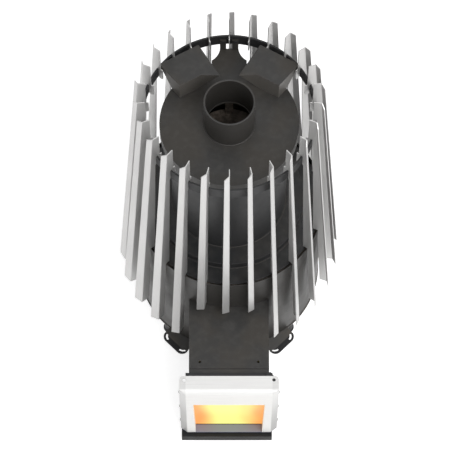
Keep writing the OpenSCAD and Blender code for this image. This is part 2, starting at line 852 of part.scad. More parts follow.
module door_shell() {
    color(bright) difference() {
        door_solid(0);
        difference() {
            door_solid(shell_t);
            block([-door_half, door_front, 0], [door_half, door_front + shell_t, door_top]);
        }
        block([-door_half, door_rear - overrun, 0], [door_half, door_rear + overrun, door_top - shell_t]);
        block([-frame_half, door_rear - shell_t, 0], [frame_half, door_rear + overrun, door_top - shell_t]);
        translate([0, 0, -overrun]) block([-frame_half, door_front + chamfer_d + chamfer_w, 0],
                                          [frame_half, door_rear + overrun, sill_top + overrun]);
        window_prism(0, door_front - overrun, door_front + 2 * shell_t);
        side_clearance();
        screw_holes(screw_r);
        for (s = [-1, 1]) translate([s * pivot_x, pivot_y, door_top - 2 * shell_t])
            cylinder(r = pin_r + run_fit, h = 3 * shell_t, $fn = 48);
        for (s = [0, 1]) mirror([s, 0, 0]) difference() {
            block([pivot_x, pivot_y, door_top - shell_t - overrun], [door_half + overrun, door_rear + overrun, door_top + overrun]);
            translate([pivot_x, pivot_y, 0]) cylinder(r = pivot_inset, h = 2 * door_top, $fn = 64);
        }
    }
}

module door_sill() {
    color(bright) intersection() {
        translate([0, 0, door_foot]) linear_extrude(sill_t) door_plan(0);
        block([-door_half, door_front, door_foot], [door_half, glass_front - reveal_gap, sill_top]);
    }
}

module window_reveal() {
    color(bright) difference() {
        window_prism(reveal_t, door_front + shell_t, glass_front - reveal_gap);
        window_prism(0, door_front, glass_front + overrun);
    }
}

module door_glass() {
    color([1.0, 0.75, 0.3]) block([-glass_half, glass_front, glass_foot], [glass_half, glass_back, glass_top]);
}

module glass_gasket() {
    color(charcoal) upright_ring(glass_back, frame_front, glass_half, glass_foot, glass_top,
                                 light_half, light_foot, light_top);
}

// Clips that hold the glass against the frame
module glass_clips() {
    color(satin) for (s = [0, 1], z = [light_foot + 2 * clip_w, light_top - 2 * clip_w]) mirror([s, 0, 0]) {
        block([glass_half - clip_lap, glass_front - clip_t, z - clip_w / 2],
              [glass_half + clip_leg, glass_front, z + clip_w / 2]);
        block([glass_half + seat, glass_front - clip_t, z - clip_w / 2],
              [glass_half + clip_leg, frame_front, z + clip_w / 2]);
    }
}

// Inner frame: a plate with side flanges, a ring for the rope seal and the pivots' knuckles
module door_frame() {
    upper_low = upper_ear_z - ear_gap - knuckle_h;
    knuckles = [[pivot_x, upper_low, knuckle_r, pin_r, knuckle_h], [pivot_x, frame_foot, knuckle_r, pin_r, knuckle_h],
                [-pivot_x, latch_z + latch_t / 2 + latch_gap, latch_boss_r, latch_pin_r, latch_t],
                [-pivot_x, latch_z - 3 * latch_t / 2 - latch_gap, latch_boss_r, latch_pin_r, latch_t]];
    color(black) difference() {
        union() {
            upright_ring(frame_front, frame_back, frame_half - frame_flange_t, frame_foot, frame_top,
                         light_half, light_foot, light_top);
            upright_ring(frame_back, channel_ring_back, seal_half, seal_foot, seal_top,
                         seal_half - rope_w, seal_foot + rope_w, seal_top - rope_w);
            for (s = [0, 1]) mirror([s, 0, 0])
                block([frame_half - frame_flange_t, frame_front - frame_flange_d, frame_foot],
                      [frame_half, pivot_y, frame_top]);
            for (k = knuckles) translate([0, 0, k[1]]) {
                translate([k[0], pivot_y, 0]) cylinder(r = k[2], h = k[4], $fn = 48);
                block([k[0] - k[2], frame_front, 0], [k[0] + k[2], pivot_y, k[4]]);
            }
        }
        for (k = knuckles) translate([k[0], pivot_y, k[1] - overrun])
            cylinder(r = k[3] + (k[3] == pin_r ? run_fit : 0), h = k[4] + 2 * overrun, $fn = 48);
        block([-frame_half, frame_front - overrun, latch_z - latch_t / 2 - latch_gap],
              [-pivot_x + latch_boss_r, pivot_y, latch_z + latch_t / 2 + latch_gap]);
        side_clearance();
        screw_holes(screw_r);
    }
}

module rope_seal() {
    color(bright) upright_ring(channel_ring_back, rope_back, seal_half, seal_foot, seal_top,
                               seal_half - rope_w, seal_foot + rope_w, seal_top - rope_w);
}

module door_screws() {
    color(satin) for (s = [0, 1], i = [0 : 2]) mirror([s, 0, 0])
        translate([door_half, screw_y, door_foot + screw_edge + i * (door_top - door_foot - 2 * screw_edge) / 2])
        rotate([0, 90, 0]) {
            cylinder(r = screw_head_r, h = screw_head_h, $fn = 32);
            translate([0, 0, -screw_len]) cylinder(r = screw_r, h = screw_len, $fn = 32);
        }
}

module latch_pin() {
    reach = 3 * latch_t + 2 * latch_gap;
    color(satin) translate([-pivot_x, pivot_y, latch_z - reach / 2]) cylinder(r = latch_pin_r, h = reach, $fn = 48);
}

// Hook that turns on the latch pin and catches behind the flange's left edge
module latch_hook() {
    arm_out = -pivot_x - latch_boss_r;
    hook_front = -tunnel_reach + seat;
    color(black) translate([0, 0, latch_z - latch_t / 2]) difference() {
        union() {
            translate([-pivot_x, pivot_y, 0]) cylinder(r = latch_boss_r, h = latch_t, $fn = 48);
            block([arm_out, pivot_y, 0], [arm_out + latch_arm_w, hook_front + latch_hook_t, latch_t]);
            block([arm_out, hook_front, 0], [-flange_half + latch_bite, hook_front + latch_hook_t, latch_t]);
            block([-door_half, pivot_y - latch_boss_r, 0], [-pivot_x, pivot_y, latch_t]);
        }
        translate([-pivot_x, pivot_y, -overrun]) cylinder(r = latch_pin_r + run_fit, h = latch_t + 2 * overrun, $fn = 48);
    }
}

base_plate();
support_legs();
foot_plates();
outer_casing();
firebox_wall();
stone_shelf();
firebox_crown();
fire_grate();
smoke_drum();
flame_baffle();
top_plate();
flue_collar();
cage_ring();
ring_bracket_left();
ring_bracket_right();
ring_rivets();
slats_long();
slats_short();
fuel_tunnel();
portal_flange();
hinge_ears();
hinge_pins();
ash_channel();
ash_tray();
drawer_front();
drawer_rivets();
door_shell();
door_frame();
door_sill();
window_reveal();
door_glass();
glass_gasket();
glass_clips();
rope_seal();
door_screws();
latch_pin();
latch_hook();
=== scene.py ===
"""Looks of a wood-fired sauna stove: finishes for its steel, glass and rope, the fine
pieces that its construction leaves plain, and the stage it is seen on."""

import math

import bmesh
import bpy
import numpy as np
from mathutils import Matrix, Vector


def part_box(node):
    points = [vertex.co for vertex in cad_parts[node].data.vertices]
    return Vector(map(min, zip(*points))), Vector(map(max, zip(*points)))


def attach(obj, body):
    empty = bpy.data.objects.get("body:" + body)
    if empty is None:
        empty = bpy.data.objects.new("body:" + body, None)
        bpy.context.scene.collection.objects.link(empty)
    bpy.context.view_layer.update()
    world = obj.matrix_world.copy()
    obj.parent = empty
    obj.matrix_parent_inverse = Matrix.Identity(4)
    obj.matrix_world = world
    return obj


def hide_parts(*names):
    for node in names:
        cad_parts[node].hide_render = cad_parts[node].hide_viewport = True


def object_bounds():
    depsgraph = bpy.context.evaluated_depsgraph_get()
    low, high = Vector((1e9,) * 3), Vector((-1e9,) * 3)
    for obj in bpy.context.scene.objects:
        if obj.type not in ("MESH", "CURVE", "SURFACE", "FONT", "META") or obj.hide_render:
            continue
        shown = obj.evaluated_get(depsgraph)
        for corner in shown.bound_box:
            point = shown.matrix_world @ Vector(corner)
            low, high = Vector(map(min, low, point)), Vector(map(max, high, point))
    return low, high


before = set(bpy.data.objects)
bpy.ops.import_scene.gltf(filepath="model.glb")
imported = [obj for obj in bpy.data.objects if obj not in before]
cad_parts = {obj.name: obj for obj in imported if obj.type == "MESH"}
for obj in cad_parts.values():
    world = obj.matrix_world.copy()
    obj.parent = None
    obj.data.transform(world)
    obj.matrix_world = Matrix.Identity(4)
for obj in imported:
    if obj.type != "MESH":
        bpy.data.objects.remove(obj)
CAD_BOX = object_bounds()

bl_info = {
    "name": "Sauna stove",
    "version": (1, 0, 0),
    "blender": (4, 5, 0),
    "location": "3D View > Sidebar > Stove",
    "description": "Finishes and fine pieces of a wood-fired sauna stove",
    "category": "Add Mesh",
}

MM = 0.001
COLLAR_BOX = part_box("flue_collar")
DRUM_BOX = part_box("smoke_drum")
CROWN_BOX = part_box("firebox_crown")
ROPE_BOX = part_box("rope_seal")
SCREW_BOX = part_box("door_screws")
SHELL_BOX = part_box("door_shell")
GLASS_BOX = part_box("door_glass")
RING_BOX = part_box("cage_ring")
CASING_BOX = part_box("outer_casing")
LONG_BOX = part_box("slats_long")
SHORT_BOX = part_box("slats_short")
BASE_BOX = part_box("base_plate")
GRATE_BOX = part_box("fire_grate")
FEET_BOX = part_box("foot_plates")
TUNNEL_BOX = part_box("fuel_tunnel")

# Values of the construction that its boxes don't tell
SLATS_ROUND = 26
SHORT_SLATS = 3
PLAY = 0.3 * MM
RING_WALL = 4 * MM
SOLID_FOOT_R = 24 * MM

# The right lug's inner and outer lobe: direction of the lobe's middle from the flue, how far
# it stands past the plate's circle, direction of the slot from there, and the slot's turn
LOBE_DIRECTIONS = np.radians([-62.6, -53.2])
LOBE_REACHES = np.array([26.7, 17.2]) * MM
SLOT_DIRECTIONS = np.radians([-92.0, -9.0])
SLOT_TURNS = np.radians([12.0, 0.0])

# How far the lug's root lies inside the plate's circle, and how much of the plate carries
# the grate's edge
ROOT_INSET = 4 * MM
GRATE_LEDGE = 10 * MM

# How far under the ring a finger's half circle has its middle, and how far above the ring
# the finger starts
FINGER_DROP = 0.6 * MM
FINGER_START = 1 * MM

# Turn past which an edge is sharp, and the distance under which two points are one
SHARP = math.radians(35)
SAME_POINT = 0.001 * MM

# Noise scales along X, Y and Z for sheet ground up and down, and for sheet ground across
GROUND_UP = (900.0, 900.0, 14.0)
GROUND_ACROSS = (14.0, 900.0, 900.0)

# Colours that come with the light, the fire, dust and ash; the pale dust colour is also painted light
# on the base
WHITE = (1.0, 1.0, 1.0, 1.0)
FLOOR_GREY = (0.86, 0.86, 0.86, 1.0)
BEHIND_GLASS = (0.02, 0.012, 0.006, 1.0)
PALE_FLAME = (0.9, 0.88, 0.62)
DUST_AND_LIGHT = (0.075, 0.072, 0.067)
ASH = (0.14, 0.13, 0.12)

# Factors that make a paint's colour cooler and darker, or warmer and lighter, in patches
COOLER = (0.86, 0.90, 0.96)
WARMER = (1.16, 1.10, 1.02)

# How much lighter than charcoal the base and the brackets' upright faces are painted: both are painted
# light, on the base against the shade under the slats and casing, on the brackets for the light falling
# on their front walls
BASE_PAINTED_LIGHT = 3.0
BRACKET_PAINTED_LIGHT = 3.6

# The camera's sensor in millimetres, and how far it sees in metres
SENSOR_WIDTH = 36.0
CAMERA_REACH = 50.0

# Each lamp's place and width in metres, and the stage value that holds its power
LAMPS = {
    "key lamp": ((1.0, -1.7, 3.3), 2.0, "key_light"),
    "front lamp": ((0.5, -3.2, 1.2), 2.4, "front_light"),
    "fill lamp": ((2.6, -1.2, 1.6), 2.0, "fill_light"),
}


class StoveSizes(bpy.types.PropertyGroup):
    """Sizes of the fine pieces, in metres"""

    edge: bpy.props.FloatProperty(
        name="Cut edge", description="Radius on the cut edges of thin sheet",
        default=0.5 * MM, min=0.0, unit="LENGTH")
    heavy_edge: bpy.props.FloatProperty(
        name="Heavy edge", description="Radius on the edges of thick plate and castings",
        default=0.9 * MM, min=0.0, unit="LENGTH")
    weld: bpy.props.FloatProperty(
        name="Weld bead", description="Half the width of a weld bead",
        default=2.2 * MM, min=0.0, unit="LENGTH")
    weld_pitch: bpy.props.FloatProperty(
        name="Weld pitch", description="Distance from one ripple of a weld bead to the next",
        default=3.2 * MM, min=0.5 * MM, unit="LENGTH")
    rope: bpy.props.FloatProperty(
        name="Seal rope", description="Radius of the woven rope round the door's back",
        default=5.2 * MM, min=1 * MM, unit="LENGTH")
    rope_pitch: bpy.props.FloatProperty(
        name="Rope pitch", description="Length of rope over which a strand goes once round it",
        default=26 * MM, min=5 * MM, unit="LENGTH")
    slat_sheet: bpy.props.FloatProperty(
        name="Slat sheet", description="Thickness of the slats",
        default=2 * MM, min=0.5 * MM, unit="LENGTH")
    slat_foot: bpy.props.FloatProperty(
        name="Long slat's foot", description="Height of the long slats' lower ends",
        default=LONG_BOX[0].z - 16 * MM, unit="LENGTH")
    short_foot: bpy.props.FloatProperty(
        name="Short slat's foot", description="Height of the short slats' lower ends",
        default=SHORT_BOX[0].z + 17 * MM, unit="LENGTH")
    tip_gap: bpy.props.FloatProperty(
        name="Tip gap", description="How far the fold stands outside the ring at the tips",
        default=7.5 * MM, unit="LENGTH")
    slat_stand: bpy.props.FloatProperty(
        name="Slat stand", description="How far the fold stands outside the casing at its rim",
        default=15.5 * MM, unit="LENGTH")
    face_tip: bpy.props.FloatProperty(
        name="Face at the tip", description="Width of a slat's outer face at its tip",
        default=12.5 * MM, min=5 * MM, unit="LENGTH")
    face_foot: bpy.props.FloatProperty(
        name="Face at the foot", description="Width of a slat's outer face at a long slat's foot",
        default=20 * MM, min=5 * MM, unit="LENGTH")
    face_slope: bpy.props.FloatProperty(
        name="Face slope", description="How far the face's ends are cut back at its free edge",
        default=8 * MM, min=0.0, unit="LENGTH")
    leg_tip: bpy.props.FloatProperty(
        name="Leg at the tip", description="Width of a slat's leg above the ring",
        default=17.5 * MM, min=5 * MM, unit="LENGTH")
    leg_foot: bpy.props.FloatProperty(
        name="Leg at the foot", description="Width of a slat's leg at its lower end",
        default=20 * MM, min=5 * MM, unit="LENGTH")
    shoulder: bpy.props.FloatProperty(
        name="Shoulder", description="How far a slat's shoulder reaches in over the casing's rim",
        default=12.4 * MM, min=0.0, unit="LENGTH")
    shank_drop: bpy.props.FloatProperty(
        name="Shank", description="Height below the rim over which the leg runs close to the casing",
        default=16 * MM, min=0.0, unit="LENGTH")
    stem_step: bpy.props.FloatProperty(
        name="Stem step", description="How far the leg steps back under the ring",
        default=3 * MM, min=0.0, unit="LENGTH")
    finger: bpy.props.FloatProperty(
        name="Finger", description="Radius of the rounded finger that holds a slat to the ring",
        default=5.5 * MM, min=1 * MM, unit="LENGTH")
    fold: bpy.props.FloatProperty(
        name="Fold", description="Radius of a slat's fold at the middle of the sheet",
        default=2.2 * MM, min=0.5 * MM, unit="LENGTH")
    face_turn: bpy.props.FloatProperty(
        name="Face turn", description="Turn of a slat's outer face from the radial direction",
        default=math.radians(61), subtype="ANGLE", unit="ROTATION")
    lug_lobe: bpy.props.FloatProperty(
        name="Lug lobe", description="Radius of each lobe of the two front lugs",
        default=17 * MM, min=10 * MM, unit="LENGTH")
    slot_reach: bpy.props.FloatProperty(
        name="Slot reach", description="Distance from a lobe's middle to the middle of its slot",
        default=8.7 * MM, min=4 * MM, unit="LENGTH")
    slot_radius: bpy.props.FloatProperty(
        name="Slot radius", description="Radius of the middle line of a lug's curved slot",
        default=14 * MM, min=4 * MM, unit="LENGTH")
    slot_width: bpy.props.FloatProperty(
        name="Slot width", description="Width of a lug's curved slot",
        default=5 * MM, min=1 * MM, unit="LENGTH")
    slot_sweep: bpy.props.FloatProperty(
        name="Slot sweep", description="Angle that a lug's curved slot turns through",
        default=math.radians(50), subtype="ANGLE", unit="ROTATION")
    foot: bpy.props.FloatProperty(
        name="Foot", description="Radius of the round foot plates",
        default=17 * MM, min=5 * MM, unit="LENGTH")
    # A painted shadow lies black along the lugs' outer edge; this is its width.
    lug_shadow_width: bpy.props.FloatProperty(
        name="Lug's black edge", description="Width of the black edge along the lugs",
        default=14 * MM, min=1 * MM, unit="LENGTH")
    chamfer: bpy.props.FloatProperty(
        name="Chamfer", description="Width of the bent edges beside the door's front",
        default=16 * MM, min=1 * MM, unit="LENGTH")
    socket: bpy.props.FloatProperty(
        name="Screw socket", description="Width across the flats of a screw's socket",
        default=3.0 * MM, min=1 * MM, unit="LENGTH")


class StoveColours(bpy.types.PropertyGroup):
    """Colours of the stove's finishes"""

    slat: bpy.props.FloatVectorProperty(
        name="Slats", description="Satin stainless sheet of the slats",
        default=(0.63, 0.625, 0.618), min=0, max=1, subtype="COLOR")
    door: bpy.props.FloatVectorProperty(
        name="Door", description="Bright stainless sheet of the door",
        default=(0.91, 0.905, 0.895), min=0, max=1, subtype="COLOR")
    charcoal: bpy.props.FloatVectorProperty(
        name="Charcoal", description="Heat-resistant paint of casing, lid, tunnel and base",
        default=(0.031, 0.0288, 0.0260), min=0, max=1, subtype="COLOR")
    # The drum's paint is charcoal made darker and cooler: painted shade under the lid and slats.
    drum: bpy.props.FloatVectorProperty(
        name="Drum", description="Cooler heat-resistant paint of the smoke drum and crown",
        default=(0.0225, 0.0228, 0.0237), min=0, max=1, subtype="COLOR")
    # The sill's steel is much darker than the door's: painted shade of its recess under the glass.
    sill: bpy.props.FloatVectorProperty(
        name="Sill", description="Steel of the sill, blued by the fire behind it",
        default=(0.22, 0.235, 0.32), min=0, max=1, subtype="COLOR")
    black: bpy.props.FloatVectorProperty(
        name="Black", description="Matt black paint of legs, ring, flange and small parts",
        default=(0.013, 0.013, 0.014), min=0, max=1, subtype="COLOR")
    fired: bpy.props.FloatVectorProperty(
        name="Fired steel", description="Steel that the fire has browned",
        default=(0.20, 0.165, 0.135), min=0, max=1, subtype="COLOR")
    plain: bpy.props.FloatVectorProperty(
        name="Plain steel", description="Zinc-grey steel of screws and rivets",
        default=(0.45, 0.45, 0.44), min=0, max=1, subtype="COLOR")
    rope: bpy.props.FloatVectorProperty(
        name="Rope", description="Glass-fibre rope and tape",
        default=(0.55, 0.53, 0.47), min=0, max=1, subtype="COLOR")
    fire_heart: bpy.props.FloatVectorProperty(
        name="Fire heart", description="Firelight in the middle of the glass",
        default=(1.0, 0.98, 0.28), min=0, max=1, subtype="COLOR")
    fire_side: bpy.props.FloatVectorProperty(
        name="Fire side", description="Firelight at the sides of the glass",
        default=(1.0, 0.38, 0.09), min=0, max=1, subtype="COLOR")


class StoveStage(bpy.types.PropertyGroup):
    """Camera, lamps and floor"""

    eye: bpy.props.FloatVectorProperty(
        name="Camera", description="Place of the camera", size=3,
        default=(-0.00962, -2.3128, 5.2219), subtype="TRANSLATION", unit="LENGTH")
    tilt: bpy.props.FloatProperty(
        name="Tilt", description="Angle of the view below the horizon",
        default=math.radians(64.85), subtype="ANGLE", unit="ROTATION")
    lens: bpy.props.FloatProperty(
        name="Lens", description="Focal length in millimetres, on a 36 mm sensor",
        default=176.0, min=1.0)
    key_light: bpy.props.FloatProperty(
        name="Key light", description="Power of the large lamp in front, in watts",
        default=70.0, min=0.0)
    front_light: bpy.props.FloatProperty(
        name="Front light", description="Power of the low lamp in front, in watts",
        default=5.0, min=0.0)
    fill_light: bpy.props.FloatProperty(
        name="Fill light", description="Power of the lamp on the right, in watts",
        default=3.0, min=0.0)
    daylight: bpy.props.FloatProperty(
        name="Daylight", description="Strength of the even light from all round",
        default=0.40, min=0.0)
    white: bpy.props.FloatProperty(
        name="White", description="How far the floor is lifted to white in the camera and in mirrors",
        default=0.72, min=0.0)
    floor: bpy.props.FloatProperty(
        name="Floor", description="Width of the floor", default=14.0, min=1.0, unit="LENGTH")


class Finish:
    """A material in the making: its shader, and short calls for the nodes that feed it."""

    def __init__(self, name, metallic=0.0, roughness=0.5):
        self.material = bpy.data.materials.new(name)
        self.material.use_nodes = True
        self.tree = self.material.node_tree
        self.shader = self.tree.nodes["Principled BSDF"]
        self.feed(self.shader, Metallic=metallic, Roughness=roughness)
        self.place = self.node("ShaderNodeTexCoord").outputs["Object"]

    def node(self, kind, **settings):
        """A new node with its settings."""
        made = self.tree.nodes.new(kind)
        for key, value in settings.items():
            setattr(made, key, value)
        return made

    def feed(self, node, **inputs):
        """Set or link a node's inputs by name, with an underscore for each space."""
        for key, value in inputs.items():
            socket = node.inputs[key.replace("_", " ")]
            if isinstance(value, bpy.types.NodeSocket):
                self.tree.links.new(value, socket)
            else:
                socket.default_value = value
        return node

    def stretched(self, scale):
        """Object coordinates times a scale for each axis."""
        node = self.node("ShaderNodeMapping")
        return self.feed(node, Vector=self.place, Scale=scale).outputs["Vector"]

    def noise(self, scale, detail=2.0, place=None, roughness=0.5):
        """Noise from 0 to 1 with so many waves a metre, or along a stretched place."""
        node = self.node("ShaderNodeTexNoise")
        self.feed(node, Vector=place or self.place, Scale=scale, Detail=detail, Roughness=roughness)
        return node.outputs["Fac"]

    def spread(self, value, low, high, start=0.0, end=1.0):
        """The value carried from the range start to end onto low to high, smoothly."""
        node = self.node("ShaderNodeMapRange", interpolation_type="SMOOTHSTEP")
        self.feed(node, Value=value, From_Min=start, From_Max=end, To_Min=low, To_Max=high)
        return node.outputs["Result"]

    def reckon(self, kind, a, b=0):
        """The result of one arithmetic operation on two values."""
        node = self.node("ShaderNodeMath", operation=kind)
        for socket, value in zip(node.inputs, (a, b)):
            if isinstance(value, bpy.types.NodeSocket):
                self.tree.links.new(value, socket)
            else:
                socket.default_value = value
        return node.outputs["Value"]

    def mixed(self, share, first, second):
        """A colour that goes from first to second with share. The node's colour sockets
        share their names with others, so they are taken by number."""
        node = self.node("ShaderNodeMix", data_type="RGBA")
        self.tree.links.new(share, node.inputs["Factor"])
        for socket, colour in ((node.inputs[6], first), (node.inputs[7], second)):
            if isinstance(colour, bpy.types.NodeSocket):
                self.tree.links.new(colour, socket)
            else:
                socket.default_value = (*colour, 1.0)
        return node.outputs[2]

    def axes(self):
        """The three object coordinates as single values."""
        node = self.feed(self.node("ShaderNodeSeparateXYZ"), Vector=self.place)
        return node.outputs

    def bump(self, height, distance, strength=1.0):
        """Fine relief from a height of 0 to 1, as deep as the distance."""
        node = self.node("ShaderNodeBump")
        self.feed(node, Height=height, Distance=distance, Strength=strength)
        self.feed(self.shader, Normal=node.outputs["Normal"])

    def colour(self, value):
        """Set or link the base colour."""
        self.feed(self.shader, Base_Color=value)

    def roughness(self, value):
        """Set or link the roughness."""
        self.feed(self.shader, Roughness=value)


def shade(colour, factor):
    """The colour times a factor, held below white."""
    return tuple(min(1.0, c * factor) for c in colour)


def sheet_steel(name, colour, grain, metallic, roughness, sides=None):
    """Ground stainless sheet: fine scratches along one axis, and a soft change of gloss
    where hands and rollers went over it. Sides holds the half width at which bent edges
    start and the heights of their foot and top: the edges are greyer, most at the foot, as a
    painted dark reflection."""
    f = Finish(name, metallic=metallic)
    lines = f.noise(1.0, detail=3.0, place=f.stretched(grain))
    cloud = f.noise(9.0, detail=3.0)
    ground = f.mixed(f.spread(lines, 0, 1, 0.3, 0.7), shade(colour, 0.96), shade(colour, 1.03))
    if sides:
        half, foot, top = sides
        x, _, z = f.axes()
        bent = f.spread(f.reckon("ABSOLUTE", x), 0, 1, half - 1 * MM, half + 2 * MM)
        painted_dark_fade = f.spread(z, 0.95, 0.2, foot, top)
        ground = f.mixed(f.reckon("MULTIPLY", bent, painted_dark_fade), ground, shade(colour, 0.45))
    f.colour(ground)
    change = 0.04
    clouded = f.spread(cloud, -change, change, 0.35, 0.65)
    lined = f.spread(lines, -change, change, 0.3, 0.7)
    f.roughness(f.reckon("ADD", f.reckon("ADD", clouded, lined), roughness))
    f.bump(lines, 0.01 * MM, strength=0.25)
    return f.material


def heat_paint(name, colour, roughness=0.5, dust_and_light=0.25, gloss=0.5, rim=None, upright_light=1.0):
    """Stove paint: a fine grain, dull and glossier patches, and a breath of grey dust on
    what faces up, which is painted light where dust_and_light is high. Rim holds a direction
    seen from above, mirrored to the left, a reach and a colour: what lies past that reach in
    that direction has the colour, a painted shadow on the base. upright_light says how much
    lighter the paint is on upright faces, as painted light."""
    f = Finish(name)
    f.feed(f.shader, Specular_IOR_Level=gloss)
    patch = f.noise(14.0, detail=4.0)
    grain = f.noise(1400.0, detail=2.0)
    cool = tuple(c * k for c, k in zip(colour, COOLER))
    warm = tuple(c * k for c, k in zip(colour, WARMER))
    base = f.mixed(f.spread(patch, 0, 1, 0.35, 0.65), cool, warm)
    facing = f.node("ShaderNodeNewGeometry").outputs["Normal"]
    up = f.feed(f.node("ShaderNodeSeparateXYZ"), Vector=facing).outputs["Z"]
    # Upright faces take the colour times upright_light, which on the brackets is painted light.
    base = f.mixed(f.spread(up, 0, 1, 0.2, 0.6), shade(colour, upright_light), base)
    # Grey specks on what faces up: dust, and on the base, where dust_and_light is high, painted light.
    level = f.spread(up, 0.0, dust_and_light, 0.5, 1.0)
    specks = f.reckon("MULTIPLY", level, f.spread(f.noise(60.0, detail=6.0), 0, 1, 0.4, 0.75))
    painted = f.mixed(specks, base, DUST_AND_LIGHT)
    # Past the rim's reach the colour changes: on the base, a painted shadow along the lugs' edge.
    if rim:
        (aside, along), reach, beyond = rim
        x, y, _ = f.axes()
        across = f.reckon("MULTIPLY", f.reckon("ABSOLUTE", x), aside)
        away = f.reckon("ADD", across, f.reckon("MULTIPLY", y, along))
        past = f.spread(away, 0, 1, reach - 2 * MM, reach + 2 * MM)
        painted = f.mixed(past, painted, beyond)
    f.colour(painted)
    f.roughness(f.reckon("ADD", f.spread(patch, -0.06, 0.08, 0.3, 0.7), roughness))
    f.bump(grain, 0.12 * MM, strength=0.4)
    return f.material


def fired_steel(name, colour):
    """Bare steel after many fires: brown scale in flakes over a darker ground, with soot."""
    f = Finish(name, metallic=0.2, roughness=0.8)
    flakes = f.noise(70.0, detail=8.0, roughness=0.7)
    soot = f.noise(8.0, detail=5.0)
    rusty = f.mixed(f.spread(flakes, 0, 1, 0.4, 0.62), shade(colour, 0.6), shade(colour, 1.5))
    f.colour(f.mixed(f.spread(soot, 0, 0.6, 0.5, 0.75), rusty, shade(colour, 0.15)))
    f.bump(flakes, 0.5 * MM, strength=0.7)
    return f.material


def cast_iron(name, colour):
    """Sand-cast iron: a coarse skin with ash rubbed into it."""
    f = Finish(name, metallic=0.3, roughness=0.75)
    skin = f.noise(420.0, detail=4.0, roughness=0.65)
    ash = f.noise(30.0, detail=5.0)
    f.colour(f.mixed(f.spread(ash, 0, 1, 0.45, 0.7), shade(colour, 0.8), ASH))
    f.bump(skin, 0.35 * MM, strength=0.8)
    return f.material


def plain_steel(name, colour):
    """Turned steel: soft mottled zinc."""
    f = Finish(name, metallic=1.0)
    mottle = f.noise(260.0, detail=3.0)
    f.colour(f.mixed(f.spread(mottle, 0, 1, 0.35, 0.65), shade(colour, 0.85), shade(colour, 1.15)))
    f.roughness(f.spread(mottle, 0.28, 0.42, 0.3, 0.7))
    f.bump(f.noise(1800.0, detail=2.0), 0.02 * MM, strength=0.3)
    return f.material


def woven(name, colour):
    """Glass-fibre weave: pale threads, darker between them, with heat stains."""
    f = Finish(name, roughness=0.9)
    thread = f.noise(2600.0, detail=2.0)
    stain = f.noise(22.0, detail=4.0)
    base = f.mixed(f.spread(thread, 0, 1, 0.3, 0.7), shade(colour, 0.7), shade(colour, 1.15))
    f.colour(f.mixed(f.spread(stain, 0, 0.6, 0.5, 0.75), base, shade(colour, 0.35)))
    f.feed(f.shader, Sheen_Weight=0.3, Sheen_Roughness=0.5)
    f.bump(thread, 0.2 * MM, strength=0.6)
    return f.material


def fire_glass(name, heart, side, box):
    """Heat-proof glass with the fire's light in it: yellow in the middle, orange to the
    sides and paler at the top, with slow tongues of flame."""
    f = Finish(name, roughness=0.3)
    low, high = box
    x, _, z = f.axes()
    half = (high.x - low.x) / 2
    flames = f.noise(1.0, detail=1.0, place=f.stretched((14.0, 14.0, 6.0)))
    sway = f.reckon("MULTIPLY", f.reckon("SUBTRACT", flames, 0.5), 0.08)
    swayed = f.reckon("ADD", f.reckon("ABSOLUTE", x), sway)
    glow = f.mixed(f.spread(swayed, 0, 1, 0.2 * half, 0.95 * half), heart, side)
    rise = f.spread(z, 0, 0.55, low.z + 0.7 * (high.z - low.z), high.z)
    glow = f.mixed(rise, glow, PALE_FLAME)
    f.colour(BEHIND_GLASS)
    f.feed(f.shader, Emission_Color=glow, Emission_Strength=1.0, Specular_IOR_Level=0.2)
    return f.material


def round_edges(made, radius):
    """Bevel the sharp edges, and let the large faces set the shading."""
    bevel = made.modifiers.new("edges", "BEVEL")
    bevel.width = radius
    bevel.segments = 2
    bevel.limit_method = "ANGLE"
    bevel.angle_limit = SHARP
    bevel.use_clamp_overlap = True
    made.modifiers.new("shading", "WEIGHTED_NORMAL")


def merge_planes(made):
    """Make one face of the triangles of each plane face."""
    plane = made.modifiers.new("planes", "DECIMATE")
    plane.decimate_type = "DISSOLVE"
    plane.angle_limit = math.radians(0.5)


def dress(material, radius, *nodes):
    """Put one material on CAD nodes and, where there is a radius, round their sharp edges
    once their loose triangles are merged."""
    for name in nodes:
        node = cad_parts[name]
        node.data.materials.clear()
        node.data.materials.append(material)
        if not radius:
            continue
        node.data.polygons.foreach_set("use_smooth", np.ones(len(node.data.polygons), bool))
        weld = node.modifiers.new("merge", "WELD")
        weld.merge_threshold = 0.005 * MM
        merge_planes(node)
        round_edges(node, radius)


def surface(points, wrap_rows=False, wrap_columns=False):
    """Vertices and quads of a grid of points, rows by columns by three, closed on itself
    along the rows or the columns where asked."""
    rows, columns = points.shape[:2]
    number = np.arange(rows * columns).reshape(rows, columns)
    if wrap_rows:
        number = np.vstack([number, number[:1]])
    if wrap_columns:
        number = np.hstack([number, number[:, :1]])
    quads = np.stack([number[:-1, :-1], number[:-1, 1:], number[1:, 1:], number[1:, :-1]], -1)
    return points.reshape(-1, 3), quads.reshape(-1, 4)


def piece(name, parts, material, slot, body, *replaced):
    """One object from several surfaces, finished, and riding on a body."""
    counts = np.cumsum([0] + [len(vertices) for vertices, _ in parts])
    vertices = np.vstack([vertices for vertices, _ in parts])
    faces = np.vstack([quads + start for (_, quads), start in zip(parts, counts)])
    mesh = bpy.data.meshes.new(name)
    mesh.from_pydata(vertices.tolist(), [], faces.tolist())
    return placed(mesh, material, slot, body, *replaced)


